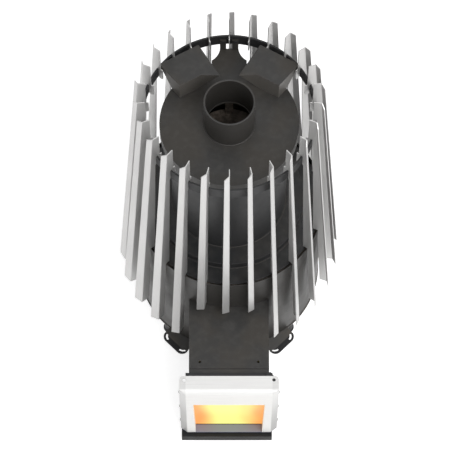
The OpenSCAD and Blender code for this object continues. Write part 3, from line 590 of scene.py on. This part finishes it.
def placed(mesh, material, slot, body, *replaced):
    """The object of a mesh, riding on a body: its doubles are merged, its flat slivers
    dissolved and its faces turned outwards, and it is shaded smooth."""
    merged = bmesh.new()
    merged.from_mesh(mesh)
    bmesh.ops.remove_doubles(merged, verts=merged.verts, dist=SAME_POINT)
    bmesh.ops.dissolve_degenerate(merged, edges=merged.edges, dist=SAME_POINT)
    bmesh.ops.recalc_face_normals(merged, faces=merged.faces)
    merged.to_mesh(mesh)
    merged.free()
    mesh.polygons.foreach_set("use_smooth", np.ones(len(mesh.polygons), bool))
    mesh.materials.append(material)
    made = bpy.data.objects.new(mesh.name, mesh)
    bpy.context.scene.collection.objects.link(made)
    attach(made, body)
    if replaced:
        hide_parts(*replaced)
    return made


def ring_bead(radius, height, size, pitch):
    """A weld bead round the flue's axis. A point turns about the circle with u and about
    the bead with v; the bead swells and shrinks once a pitch, and its ripples lean."""
    relief, lean, steps, around = 0.14, 0.6, 6, 10
    ripples = int(2 * math.pi * radius / pitch)
    u = np.linspace(0, 2 * math.pi, steps * ripples, endpoint=False)[:, None]
    v = np.linspace(0, 2 * math.pi, around, endpoint=False)[None, :]
    swell = size * (1 - relief + relief * np.abs(np.sin(ripples * u / 2 + lean * np.cos(v))))
    out = radius + swell * np.cos(v)
    points = np.stack([out * np.cos(u), out * np.sin(u), height + swell * np.sin(v)], -1)
    return surface(points, wrap_rows=True, wrap_columns=True)


def rope_loop(low, high, radius, pitch):
    """Woven rope laid round a rounded rectangle in a plane of constant Y. The path is four
    quarter circles joined by straights, taken by its length; the rope's radius ripples
    with the product of two waves that turn about it, one each way, once a pitch."""
    relief, steps, around, strands = 0.05, 14, 20, 4
    half_x = (high.x - low.x) / 2 - radius
    half_z = (high.z - low.z) / 2 - radius
    corner = 2.2 * radius
    straight_x, straight_z = 2 * (half_x - corner), 2 * (half_z - corner)
    arc = corner * math.pi / 2
    lengths = np.array([straight_x, arc, straight_z, arc] * 2)
    ends = np.cumsum(lengths)
    total = ends[-1]
    turns = round(total / pitch)
    s = np.linspace(0, total, steps * turns, endpoint=False)
    leg = np.searchsorted(ends, s, side="right")
    along = s - np.concatenate([[0], ends])[leg]
    quarter = leg // 2
    bend = np.where(leg % 2 == 1, along / corner, 0.0)
    turn = quarter * math.pi / 2 + bend
    centre_x = np.array([1, 1, -1, -1])[quarter] * (half_x - corner)
    centre_z = np.array([-1, 1, 1, -1])[quarter] * (half_z - corner)
    back = np.where(leg % 2 == 0, lengths[leg] - along, 0.0)
    x = centre_x + corner * np.sin(turn) - back * np.cos(turn)
    z = centre_z - corner * np.cos(turn) - back * np.sin(turn)
    phase = 2 * math.pi * turns * s / total
    v = np.linspace(0, 2 * math.pi, around, endpoint=False)[None, :]
    rise = 2 * phase[:, None]
    plait = np.cos(strands * v + rise) * np.cos(strands * v - rise)
    thick = radius * (1 - relief + relief * plait)
    mid_x, mid_y, mid_z = (low + high) / 2
    out_x, out_z = np.sin(turn)[:, None], -np.cos(turn)[:, None]
    points = np.stack([
        mid_x + x[:, None] + out_x * thick * np.cos(v),
        mid_y + thick * np.sin(v),
        mid_z + z[:, None] + out_z * thick * np.cos(v)], -1)
    return surface(points, wrap_rows=True, wrap_columns=True)


def slat_blade(sizes, foot):
    """A folded slat along +X, as radius, side and height. Across, the middle of the sheet
    runs from the leg's inner edge along the radius, round the fold's arc and out along the
    face; up, the leg's inner edge steps as it clears casing and ring, and the fold leans by
    a straight line. Each side of the sheet lies half its thickness off the middle, and both
    ends close to the middle."""
    ring_r, ring_low, ring_top = RING_BOX[1].x, RING_BOX[0].z, RING_BOX[1].z
    casing_r, rim, tip = CASING_BOX[1].x, CASING_BOX[1].z, LONG_BOX[1].z
    tip_r = ring_r + sizes.tip_gap
    lean = (casing_r + sizes.slat_stand - tip_r) / (tip - rim)
    foot_inner = tip_r + (tip - foot) * lean - sizes.leg_foot
    hook = tip_r - sizes.leg_tip
    stem = ring_r + PLAY
    slope = sizes.face_slope
    shank = casing_r + PLAY
    low_share = slope / (rim - sizes.shank_drop - foot)
    height, inner = np.array([
        (foot, foot_inner), (foot, foot_inner),
        (foot + slope, foot_inner + low_share * (shank - foot_inner)),
        (rim - sizes.shank_drop, shank), (rim, shank), (rim, casing_r - sizes.shoulder),
        (ring_low - 2 * sizes.stem_step, stem + sizes.stem_step), (ring_low, stem),
        (ring_top, stem), (ring_top, hook), (tip - slope, hook), (tip, hook), (tip, hook)]).T
    bend = np.linspace(0, -sizes.face_turn, 6)
    count = len(bend) + 2
    z = np.repeat(height[:, None], count, 1)
    z[:, -1] = np.clip(height, foot + slope, tip - slope)
    fold_r = tip_r + (tip - z) * lean
    widening = (sizes.face_foot - sizes.face_tip) / (tip - sizes.slat_foot)
    width = sizes.face_tip + widening * (tip - z)
    run = sizes.fold * math.tan(sizes.face_turn / 2)
    turn = np.concatenate([[0.0], bend, [-sizes.face_turn]])
    r = fold_r - run - sizes.fold * np.sin(turn)
    side = sizes.fold * (np.cos(turn) - 1) + 0 * z
    r[:, 0] = inner
    r[:, -1] = fold_r[:, -1] + width[:, -1] * math.cos(sizes.face_turn)
    side[:, -1] = -width[:, -1] * math.sin(sizes.face_turn)
    half = np.full((len(height), 1), sizes.slat_sheet / 2)
    half[[0, -1]] = 0.0
    over = np.stack([r - half * np.sin(turn), side + half * np.cos(turn), z], -1)
    under = np.stack([r + half * np.sin(turn), side - half * np.cos(turn), z], -1)
    return surface(np.concatenate([over, under[:, ::-1]], 1), wrap_columns=True)


def slat_finger(sizes):
    """The finger that hangs from the leg inside the ring: a flat bar whose width narrows
    by a half circle to its lower end. Its upper end is closed square."""
    radius, inside = sizes.finger, RING_BOX[1].x - RING_WALL - PLAY
    start = RING_BOX[1].z + FINGER_START
    t = np.linspace(0, math.pi / 2, 9)
    height = np.concatenate([[start] * 2, RING_BOX[0].z - FINGER_DROP - radius * np.sin(t)])
    wide = np.concatenate([[radius] * 2, radius * np.cos(t)])[:, None]
    half = np.full((len(height), 1), sizes.slat_sheet / 2)
    half[0] = 0.0
    corner = np.array([(1, 1), (-1, 1), (-1, -1), (1, -1)])
    r = inside - radius + wide * corner[:, 0]
    side = half * corner[:, 1]
    return surface(np.stack([r, side, height[:, None] + 0 * r], -1), wrap_columns=True)


def about_flue(part, angle):
    """A part turned about the flue's axis."""
    points, quads = part
    c, s = math.cos(angle), math.sin(angle)
    return points @ np.array([[c, s, 0], [-s, c, 0], [0, 0, 1]]), quads


def lug_lobes():
    """The middles of the right lug's inner and outer lobe, seen from above: each lies in its
    direction from the flue, past the plate's circle by its reach."""
    reach = BASE_BOX[1].x + LOBE_REACHES
    return np.stack([reach * np.cos(LOBE_DIRECTIONS), reach * np.sin(LOBE_DIRECTIONS)], -1)


def base_edge(sizes):
    """The base plate's edge seen from above: in each direction from the flue, the farther of
    the plate's circle and the right lug, mirrored to the left. The lug is the hull of three
    equal circles. A ray leaves it at the least, over all directions that it goes along, of
    the hull's reach in that direction divided by the ray's share of that direction."""
    plate_r, lobe, least = BASE_BOX[1].x, sizes.lug_lobe, 0.01
    root_x = TUNNEL_BOX[1].x + PLAY + lobe
    root = (root_x, -math.sqrt((plate_r - lobe - ROOT_INSET) ** 2 - root_x ** 2))
    centres = np.vstack([lug_lobes(), [root]])
    turn = np.radians(np.arange(-90, 90, 0.2))
    normal = np.radians(np.arange(0, 360, 0.5))
    reach = (centres @ np.stack([np.cos(normal), np.sin(normal)])).max(0) + lobe
    share = np.cos(turn[:, None] - normal[None, :])
    leaves = np.where(share > least, reach / np.maximum(share, least), np.inf).min(1)
    r = np.maximum(plate_r, leaves)
    right = np.stack([r * np.cos(turn), r * np.sin(turn)], -1)
    return np.vstack([right, right[::-1] * (-1, 1)])[:-1]


def curved_slot(sizes, lobe, way_out, turn_in):
    """A slot's edge: the outer arc, a half circle round its end, the inner arc back and a
    half circle round its start. The slot's middle lies in the direction way_out from the
    lobe's, and the slot is turned by turn_in from square to that direction."""
    radius, width, sweep = sizes.slot_radius, sizes.slot_width, sizes.slot_sweep
    middle_angle = way_out + turn_in
    centre = lobe + sizes.slot_reach * np.array([math.cos(way_out), math.sin(way_out)])
    centre = centre - radius * np.array([math.cos(middle_angle), math.sin(middle_angle)])
    turn = np.linspace(middle_angle - sweep / 2, middle_angle + sweep / 2, 16)
    cap = np.linspace(0, math.pi, 10)[1:-1]
    arcs = []
    for end, way in ((turn[-1], 1), (turn[0], -1)):
        side = turn[::way]
        arcs.append(np.stack([np.cos(side), np.sin(side)], -1) * (radius + way * width / 2))
        middle = radius * np.array([math.cos(end), math.sin(end)])
        round_cap = end + (cap if way > 0 else cap + math.pi)
        arcs.append(middle + np.stack([np.cos(round_cap), np.sin(round_cap)], -1) * width / 2)
    return centre + np.vstack(arcs)


def cut_plate(name, edge, holes, low, high):
    """The mesh of a flat plate between two heights, filled between its edge and its holes."""
    curve = bpy.data.curves.new(name, "CURVE")
    curve.dimensions = "2D"
    curve.fill_mode = "BOTH"
    curve.extrude = (high - low) / 2
    for outline in (edge, *holes):
        spline = curve.splines.new("POLY")
        spline.points.add(len(outline) - 1)
        level = np.zeros((len(outline), 1))
        spline.points.foreach_set("co", np.hstack([outline, level, level + 1]).ravel())
        spline.use_cyclic_u = True
    drawn = bpy.data.objects.new(name, curve)
    mesh = bpy.data.meshes.new_from_object(drawn)
    bpy.data.objects.remove(drawn)
    mesh.name = name
    mesh.transform(Matrix.Translation((0, 0, (low + high) / 2)))
    return mesh


def turned(profile, place, direction, socket_rows=0):
    """A turned piece from stations of radius and height, which stand on a place and along a
    direction. The first socket_rows stations are a hexagon: their radius grows from the
    flat to the corner once every 60 degrees."""
    around = 48
    a = np.linspace(0, 2 * math.pi, around, endpoint=False)[None, :]
    radius, height = np.array(profile).T[:, :, None]
    flat = 1 / np.cos((a + math.pi / 6) % (math.pi / 3) - math.pi / 6)
    hexagon = np.arange(len(profile))[:, None] < socket_rows
    radius = np.where(hexagon, radius * flat, radius)
    axis = np.array(direction, float)
    side = np.cross(axis, (0.0, 0.0, 1.0)) if abs(axis[2]) < 0.9 else np.array((1.0, 0.0, 0.0))
    other = np.cross(axis, side)
    points = (np.array(place) + height[..., None] * axis
              + (radius * np.cos(a))[..., None] * side + (radius * np.sin(a))[..., None] * other)
    return surface(points, wrap_columns=True)


def button_screw(place, direction, head, rise, shank, length, socket):
    """A button-head screw: socket floor, socket wall, dome, rim and shank."""
    across, dome_start = socket / 2, 0.5
    turns = np.linspace(dome_start, math.pi / 2, 8)
    dome = [(head * math.sin(t), rise * math.cos(t)) for t in turns]
    profile = [(0.0, 0.25 * rise), (across, 0.3 * rise), (across, 0.9 * rise)]
    profile += dome + [(head, 0.0), (shank, 0.0), (shank, -length), (0.0, -length)]
    return turned(profile, place, direction, socket_rows=3)


def stove():
    """The sizes, colours and stage values of the scene."""
    scene = bpy.context.scene
    return scene.stove_sizes, scene.stove_colours, scene.stove_stage


class STOVE_OT_body(bpy.types.Operator):
    """Paint the casing, lid, collar, tunnel, brackets, drum, crown, shelf, ring, flange,
    ash channel and legs"""

    bl_idname = "stove.body"
    bl_label = "Painted body"

    def execute(self, context):
        sizes, colours, _ = stove()
        coats = (
            (heat_paint("charcoal paint", colours.charcoal),
             "outer_casing", "top_plate", "flue_collar", "fuel_tunnel"),
            # The brackets' upright faces are painted lighter: painted light, as from lamps in front.
            (heat_paint("bracket paint", colours.charcoal, upright_light=BRACKET_PAINTED_LIGHT),
             "ring_bracket_left", "ring_bracket_right"),
            # The drum's darker, cooler paint is painted shade.
            (heat_paint("drum paint", colours.drum, roughness=0.44),
             "smoke_drum", "firebox_crown", "stone_shelf"),
            (heat_paint("black paint", colours.black, roughness=0.58, dust_and_light=0.1),
             "support_legs", "cage_ring", "portal_flange", "ash_channel", "ring_rivets"))
        for paint, *nodes in coats:
            dress(paint, sizes.heavy_edge, *nodes)
        return {"FINISHED"}


class STOVE_OT_base(bpy.types.Operator):
    """Cut the base plate with its two slotted lugs, and stand the feet under its legs"""

    bl_idname = "stove.base"
    bl_label = "Base plate and feet"

    def execute(self, context):
        sizes, colours, _ = stove()
        slots = [curved_slot(sizes, *lie) for lie in zip(lug_lobes(), SLOT_DIRECTIONS, SLOT_TURNS)]
        slots += [slot * (-1, 1) for slot in slots]
        low, high = (np.array(corner)[:2] for corner in GRATE_BOX)
        low, high = low + GRATE_LEDGE, high - GRATE_LEDGE
        holes = [np.array([low, (high[0], low[1]), high, (low[0], high[1])]), *slots]
        mesh = cut_plate("slotted_base", base_edge(sizes), holes, BASE_BOX[0].z, BASE_BOX[1].z)
        # The base is painted three times as light as charcoal and thick with pale grey specks: painted
        # light against the shade under the slats and casing.
        paint = heat_paint("base paint", shade(colours.charcoal, BASE_PAINTED_LIGHT), roughness=0.55,
                           dust_and_light=0.7, rim=self.lug_painted_shadow(sizes, colours))
        made = placed(mesh, paint, "black_steel", "stove", "base_plate")
        merge_planes(made)
        round_edges(made, sizes.heavy_edge)
        self.stand_feet(sizes, heat_paint("foot paint", colours.black, roughness=0.58, dust_and_light=0.1))
        return {"FINISHED"}

    def lug_painted_shadow(self, sizes, colours):
        """Where a painted shadow lies black along the lugs' edge: the direction square to the line
        through both lobes' middles, the reach in it, and the colour."""
        inner, outer = lug_lobes()
        along = (outer - inner) / np.linalg.norm(outer - inner)
        across = (along[1], -along[0])
        return across, float(inner @ across) + sizes.lug_lobe - sizes.lug_shadow_width, colours.black

    def stand_feet(self, sizes, paint):
        """A thin round plate under each leg, its upper edge rounded off."""
        low, high = FEET_BOX
        top = high.z - low.z
        axis = high.x - SOLID_FOOT_R
        bend = [(sizes.foot - top / 2 * (1 - math.cos(t)), top / 2 * (1 + math.sin(t)))
                for t in np.linspace(0, math.pi / 2, 5)]
        profile = [(0.0, 0.0), (sizes.foot, 0.0), *bend, (0.0, top)]
        feet = [turned(profile, (x * axis, y * axis, low.z), (0, 0, 1))
                for x in (-1, 1) for y in (-1, 1)]
        piece("turned_feet", feet, paint, "black_steel", "stove", "foot_plates")


class STOVE_OT_inside(bpy.types.Operator):
    """Finish the firebox wall, baffle and grate"""

    bl_idname = "stove.inside"
    bl_label = "Inside"

    def execute(self, context):
        sizes, colours, _ = stove()
        fired = fired_steel("fired steel", colours.fired)
        dress(fired, sizes.heavy_edge, "firebox_wall", "flame_baffle")
        dress(cast_iron("cast iron", colours.black), sizes.heavy_edge, "fire_grate")
        return {"FINISHED"}


class STOVE_OT_welds(bpy.types.Operator):
    """Lay weld beads round the flue collar, the drum and the crown"""

    bl_idname = "stove.welds"
    bl_label = "Welds"

    def execute(self, context):
        sizes, colours, _ = stove()
        rings = [("collar_weld", COLLAR_BOX), ("drum_weld", DRUM_BOX), ("crown_weld", CROWN_BOX)]
        bead = heat_paint("painted weld", colours.charcoal, roughness=0.45, dust_and_light=0.1)
        for name, (low, high) in rings:
            parts = [ring_bead((high.x - low.x) / 2, low.z, sizes.weld, sizes.weld_pitch)]
            piece(name, parts, bead, "charcoal_steel", "stove")
        return {"FINISHED"}


class STOVE_OT_slats(bpy.types.Operator):
    """Fold the slats of the cage"""

    bl_idname = "stove.slats"
    bl_label = "Slats"

    def execute(self, context):
        sizes, colours, _ = stove()
        satin = sheet_steel("satin stainless", colours.slat, GROUND_UP, metallic=0.6, roughness=0.42)
        side = SHORT_SLATS // 2
        short, long = range(-side, side + 1), range(side + 1, SLATS_ROUND - side)
        for name, node, steps, foot in (
                ("folded_slats_long", "slats_long", long, sizes.slat_foot),
                ("folded_slats_short", "slats_short", short, sizes.short_foot)):
            slat = (slat_blade(sizes, foot), slat_finger(sizes))
            angles = [step * 2 * math.pi / SLATS_ROUND - math.pi / 2 for step in steps]
            parts = [about_flue(part, angle) for angle in angles for part in slat]
            made = piece(name, parts, satin, "satin_stainless", "stove", node)
            made.data.set_sharp_from_angle(angle=SHARP)
            made.modifiers.new("shading", "WEIGHTED_NORMAL").keep_sharp = True
        return {"FINISHED"}


class STOVE_OT_door(bpy.types.Operator):
    """Finish the door's shell, sill, window reveal, inner frame, hinge and hook"""

    bl_idname = "stove.door"
    bl_label = "Door"

    def execute(self, context):
        sizes, colours, _ = stove()
        bright = sheet_steel("bright stainless", colours.door, GROUND_ACROSS,
                             metallic=0.4, roughness=0.42)
        # The sill's dark colour is painted shade of its recess under the glass.
        blued = sheet_steel("blued steel", colours.sill, GROUND_ACROSS,
                            metallic=0.4, roughness=0.5)
        black = heat_paint("door black", colours.black, roughness=0.55, dust_and_light=0.1)
        low, high = SHELL_BOX
        # The door's bent flanks are painted darker towards the foot: a painted dark reflection.
        painted_dark_flank = (high.x - sizes.chamfer, low.z, high.z)
        bent = sheet_steel("door stainless", colours.door, GROUND_ACROSS,
                           metallic=0.15, roughness=0.45, sides=painted_dark_flank)
        dress(bent, sizes.edge, "door_shell")
        dress(bright, sizes.edge, "window_reveal")
        dress(blued, sizes.edge, "door_sill")
        dress(black, sizes.edge, "door_frame", "hinge_ears", "hinge_pins", "latch_hook")
        return {"FINISHED"}


class STOVE_OT_glass(bpy.types.Operator):
    """Finish the glass, with the fire's light in it, its gasket and clips, and the latch pin"""

    bl_idname = "stove.glass"
    bl_label = "Glass"

    def execute(self, context):
        sizes, colours, _ = stove()
        lit = fire_glass("fire glass", colours.fire_heart, colours.fire_side, GLASS_BOX)
        dress(lit, sizes.edge, "door_glass")
        dress(woven("gasket tape", shade(colours.rope, 0.4)), 0, "glass_gasket")
        dress(plain_steel("clip steel", colours.plain), sizes.edge, "glass_clips", "latch_pin")
        return {"FINISHED"}


class STOVE_OT_rope(bpy.types.Operator):
    """Lay the woven seal rope round the back of the door"""

    bl_idname = "stove.rope"
    bl_label = "Seal rope"

    def execute(self, context):
        sizes, colours, _ = stove()
        loop = rope_loop(*ROPE_BOX, sizes.rope, sizes.rope_pitch)
        piece("woven_rope", [loop], woven("rope weave", colours.rope), "seal_rope", "door", "rope_seal")
        return {"FINISHED"}


class STOVE_OT_screws(bpy.types.Operator):
    """Set the screws in the door's sides, and finish the drawer's rivets like them"""

    bl_idname = "stove.screws"
    bl_label = "Screws and rivets"

    def execute(self, context):
        sizes, colours, _ = stove()
        steel = plain_steel("screw steel", colours.plain)
        low, high = SCREW_BOX
        side_x = SHELL_BOX[1].x
        middle = (low.y + high.y) / 2
        head = (high.y - low.y) / 2
        shank, length = 0.55 * head, 2 * head
        heights = np.linspace(low.z + head, high.z - head, 3)
        screws = [
            button_screw((side * side_x, middle, z), (side, 0, 0), head, high.x - side_x,
                         shank, length, sizes.socket)
            for side in (-1, 1) for z in heights]
        piece("button_screws", screws, steel, "plain_steel", "door", "door_screws")
        dress(steel, sizes.edge, "drawer_rivets")
        return {"FINISHED"}


class STOVE_OT_drawer(bpy.types.Operator):
    """Finish the ash drawer"""

    bl_idname = "stove.drawer"
    bl_label = "Ash drawer"

    def execute(self, context):
        sizes, colours, _ = stove()
        front = heat_paint("drawer paint", colours.black, roughness=0.6, dust_and_light=0.04, gloss=0.25)
        dress(front, sizes.edge, "drawer_front")
        dress(fired_steel("ash tray steel", shade(colours.fired, 0.6)), sizes.edge, "ash_tray")
        return {"FINISHED"}


class STOVE_OT_stage(bpy.types.Operator):
    """Set the floor, the lamps, the daylight and the camera"""

    bl_idname = "stove.stage"
    bl_label = "Stage"

    def execute(self, context):
        stage = context.scene.stove_stage
        self.lay_floor(stage)
        self.set_daylight(context.scene, stage)
        for name, (place, width, power) in LAMPS.items():
            self.hang_lamp(name, place, width, getattr(stage, power))
        camera = bpy.data.cameras.new("camera")
        camera.lens = stage.lens
        camera.sensor_width = SENSOR_WIDTH
        camera.clip_end = CAMERA_REACH
        eye = bpy.data.objects.new("camera", camera)
        eye.location = stage.eye
        eye.rotation_euler = (math.pi / 2 - stage.tilt, 0.0, 0.0)
        context.scene.collection.objects.link(eye)
        context.scene.camera = eye
        context.scene.view_settings.view_transform = "Standard"
        return {"FINISHED"}

    def lay_floor(self, stage):
        """A flat square at the foot of the stove, white to the camera and to mirrors."""
        half = stage.floor / 2
        corners = [(-half, -half, 0), (half, -half, 0), (half, half, 0), (-half, half, 0)]
        mesh = bpy.data.meshes.new("floor")
        mesh.from_pydata(corners, [], [(0, 1, 2, 3)])
        f = Finish("floor", roughness=0.9)
        f.colour(FLOOR_GREY)
        rays = f.node("ShaderNodeLightPath").outputs
        mirrored = f.reckon("MAXIMUM", rays["Is Glossy Ray"], rays["Is Transmission Ray"])
        seen = f.reckon("MAXIMUM", rays["Is Camera Ray"], mirrored)
        lift = f.reckon("MULTIPLY", seen, stage.white)
        f.feed(f.shader, Emission_Color=WHITE, Emission_Strength=lift)
        mesh.materials.append(f.material)
        floor = bpy.data.objects.new("floor", mesh)
        bpy.context.scene.collection.objects.link(floor)

    def set_daylight(self, scene, stage):
        """Even light, and plain white where the camera or a mirror looks past the stove."""
        world = bpy.data.worlds.new("daylight")
        world.use_nodes = True
        tree = world.node_tree
        light = tree.nodes["Background"]
        light.inputs["Color"].default_value = WHITE
        light.inputs["Strength"].default_value = stage.daylight
        white = tree.nodes.new("ShaderNodeBackground")
        white.inputs["Color"].default_value = WHITE
        mix = tree.nodes.new("ShaderNodeMixShader")
        rays = tree.nodes.new("ShaderNodeLightPath").outputs
        seen = rays["Is Camera Ray"]
        for ray in (rays["Is Glossy Ray"], rays["Is Transmission Ray"]):
            either = tree.nodes.new("ShaderNodeMath")
            either.operation = "MAXIMUM"
            tree.links.new(seen, either.inputs[0])
            tree.links.new(ray, either.inputs[1])
            seen = either.outputs["Value"]
        tree.links.new(seen, mix.inputs["Fac"])
        tree.links.new(light.outputs["Background"], mix.inputs[1])
        tree.links.new(white.outputs["Background"], mix.inputs[2])
        tree.links.new(mix.outputs["Shader"], tree.nodes["World Output"].inputs["Surface"])
        scene.world = world

    def hang_lamp(self, name, place, width, power):
        """A square soft lamp that faces the middle of the stove."""
        lamp = bpy.data.lights.new(name, "AREA")
        lamp.shape = "SQUARE"
        lamp.size = width
        lamp.energy = power
        hung = bpy.data.objects.new(name, lamp)
        hung.location = place
        low, high = CAD_BOX
        aim = (low + high) / 2 - hung.location
        hung.rotation_euler = aim.to_track_quat("-Z", "Y").to_euler()
        bpy.context.scene.collection.objects.link(hung)


class STOVE_PT_panel(bpy.types.Panel):
    """The stove's pieces and values"""

    bl_idname = "STOVE_PT_panel"
    bl_label = "Sauna stove"
    bl_space_type = "VIEW_3D"
    bl_region_type = "UI"
    bl_category = "Stove"

    def draw(self, context):
        for operator in OPERATORS:
            self.layout.operator(operator.bl_idname)
        for group in stove():
            box = self.layout.box()
            for key in group.bl_rna.properties.keys():
                if key not in ("rna_type", "name"):
                    box.prop(group, key)


OPERATORS = (
    STOVE_OT_body, STOVE_OT_base, STOVE_OT_inside, STOVE_OT_welds, STOVE_OT_slats, STOVE_OT_door,
    STOVE_OT_glass, STOVE_OT_rope, STOVE_OT_screws, STOVE_OT_drawer, STOVE_OT_stage)
GROUPS = {"stove_sizes": StoveSizes, "stove_colours": StoveColours, "stove_stage": StoveStage}


def register():
    for kind in (*GROUPS.values(), *OPERATORS, STOVE_PT_panel):
        bpy.utils.register_class(kind)
    for key, kind in GROUPS.items():
        setattr(bpy.types.Scene, key, bpy.props.PointerProperty(type=kind))


def unregister():
    for key in GROUPS:
        delattr(bpy.types.Scene, key)
    for kind in reversed((*GROUPS.values(), *OPERATORS, STOVE_PT_panel)):
        bpy.utils.unregister_class(kind)


def main():
    register()
    for operator in OPERATORS:
        group, name = operator.bl_idname.split(".")
        getattr(getattr(bpy.ops, group), name)()
    bpy.context.view_layer.update()


if __name__ == "__main__":
    main()
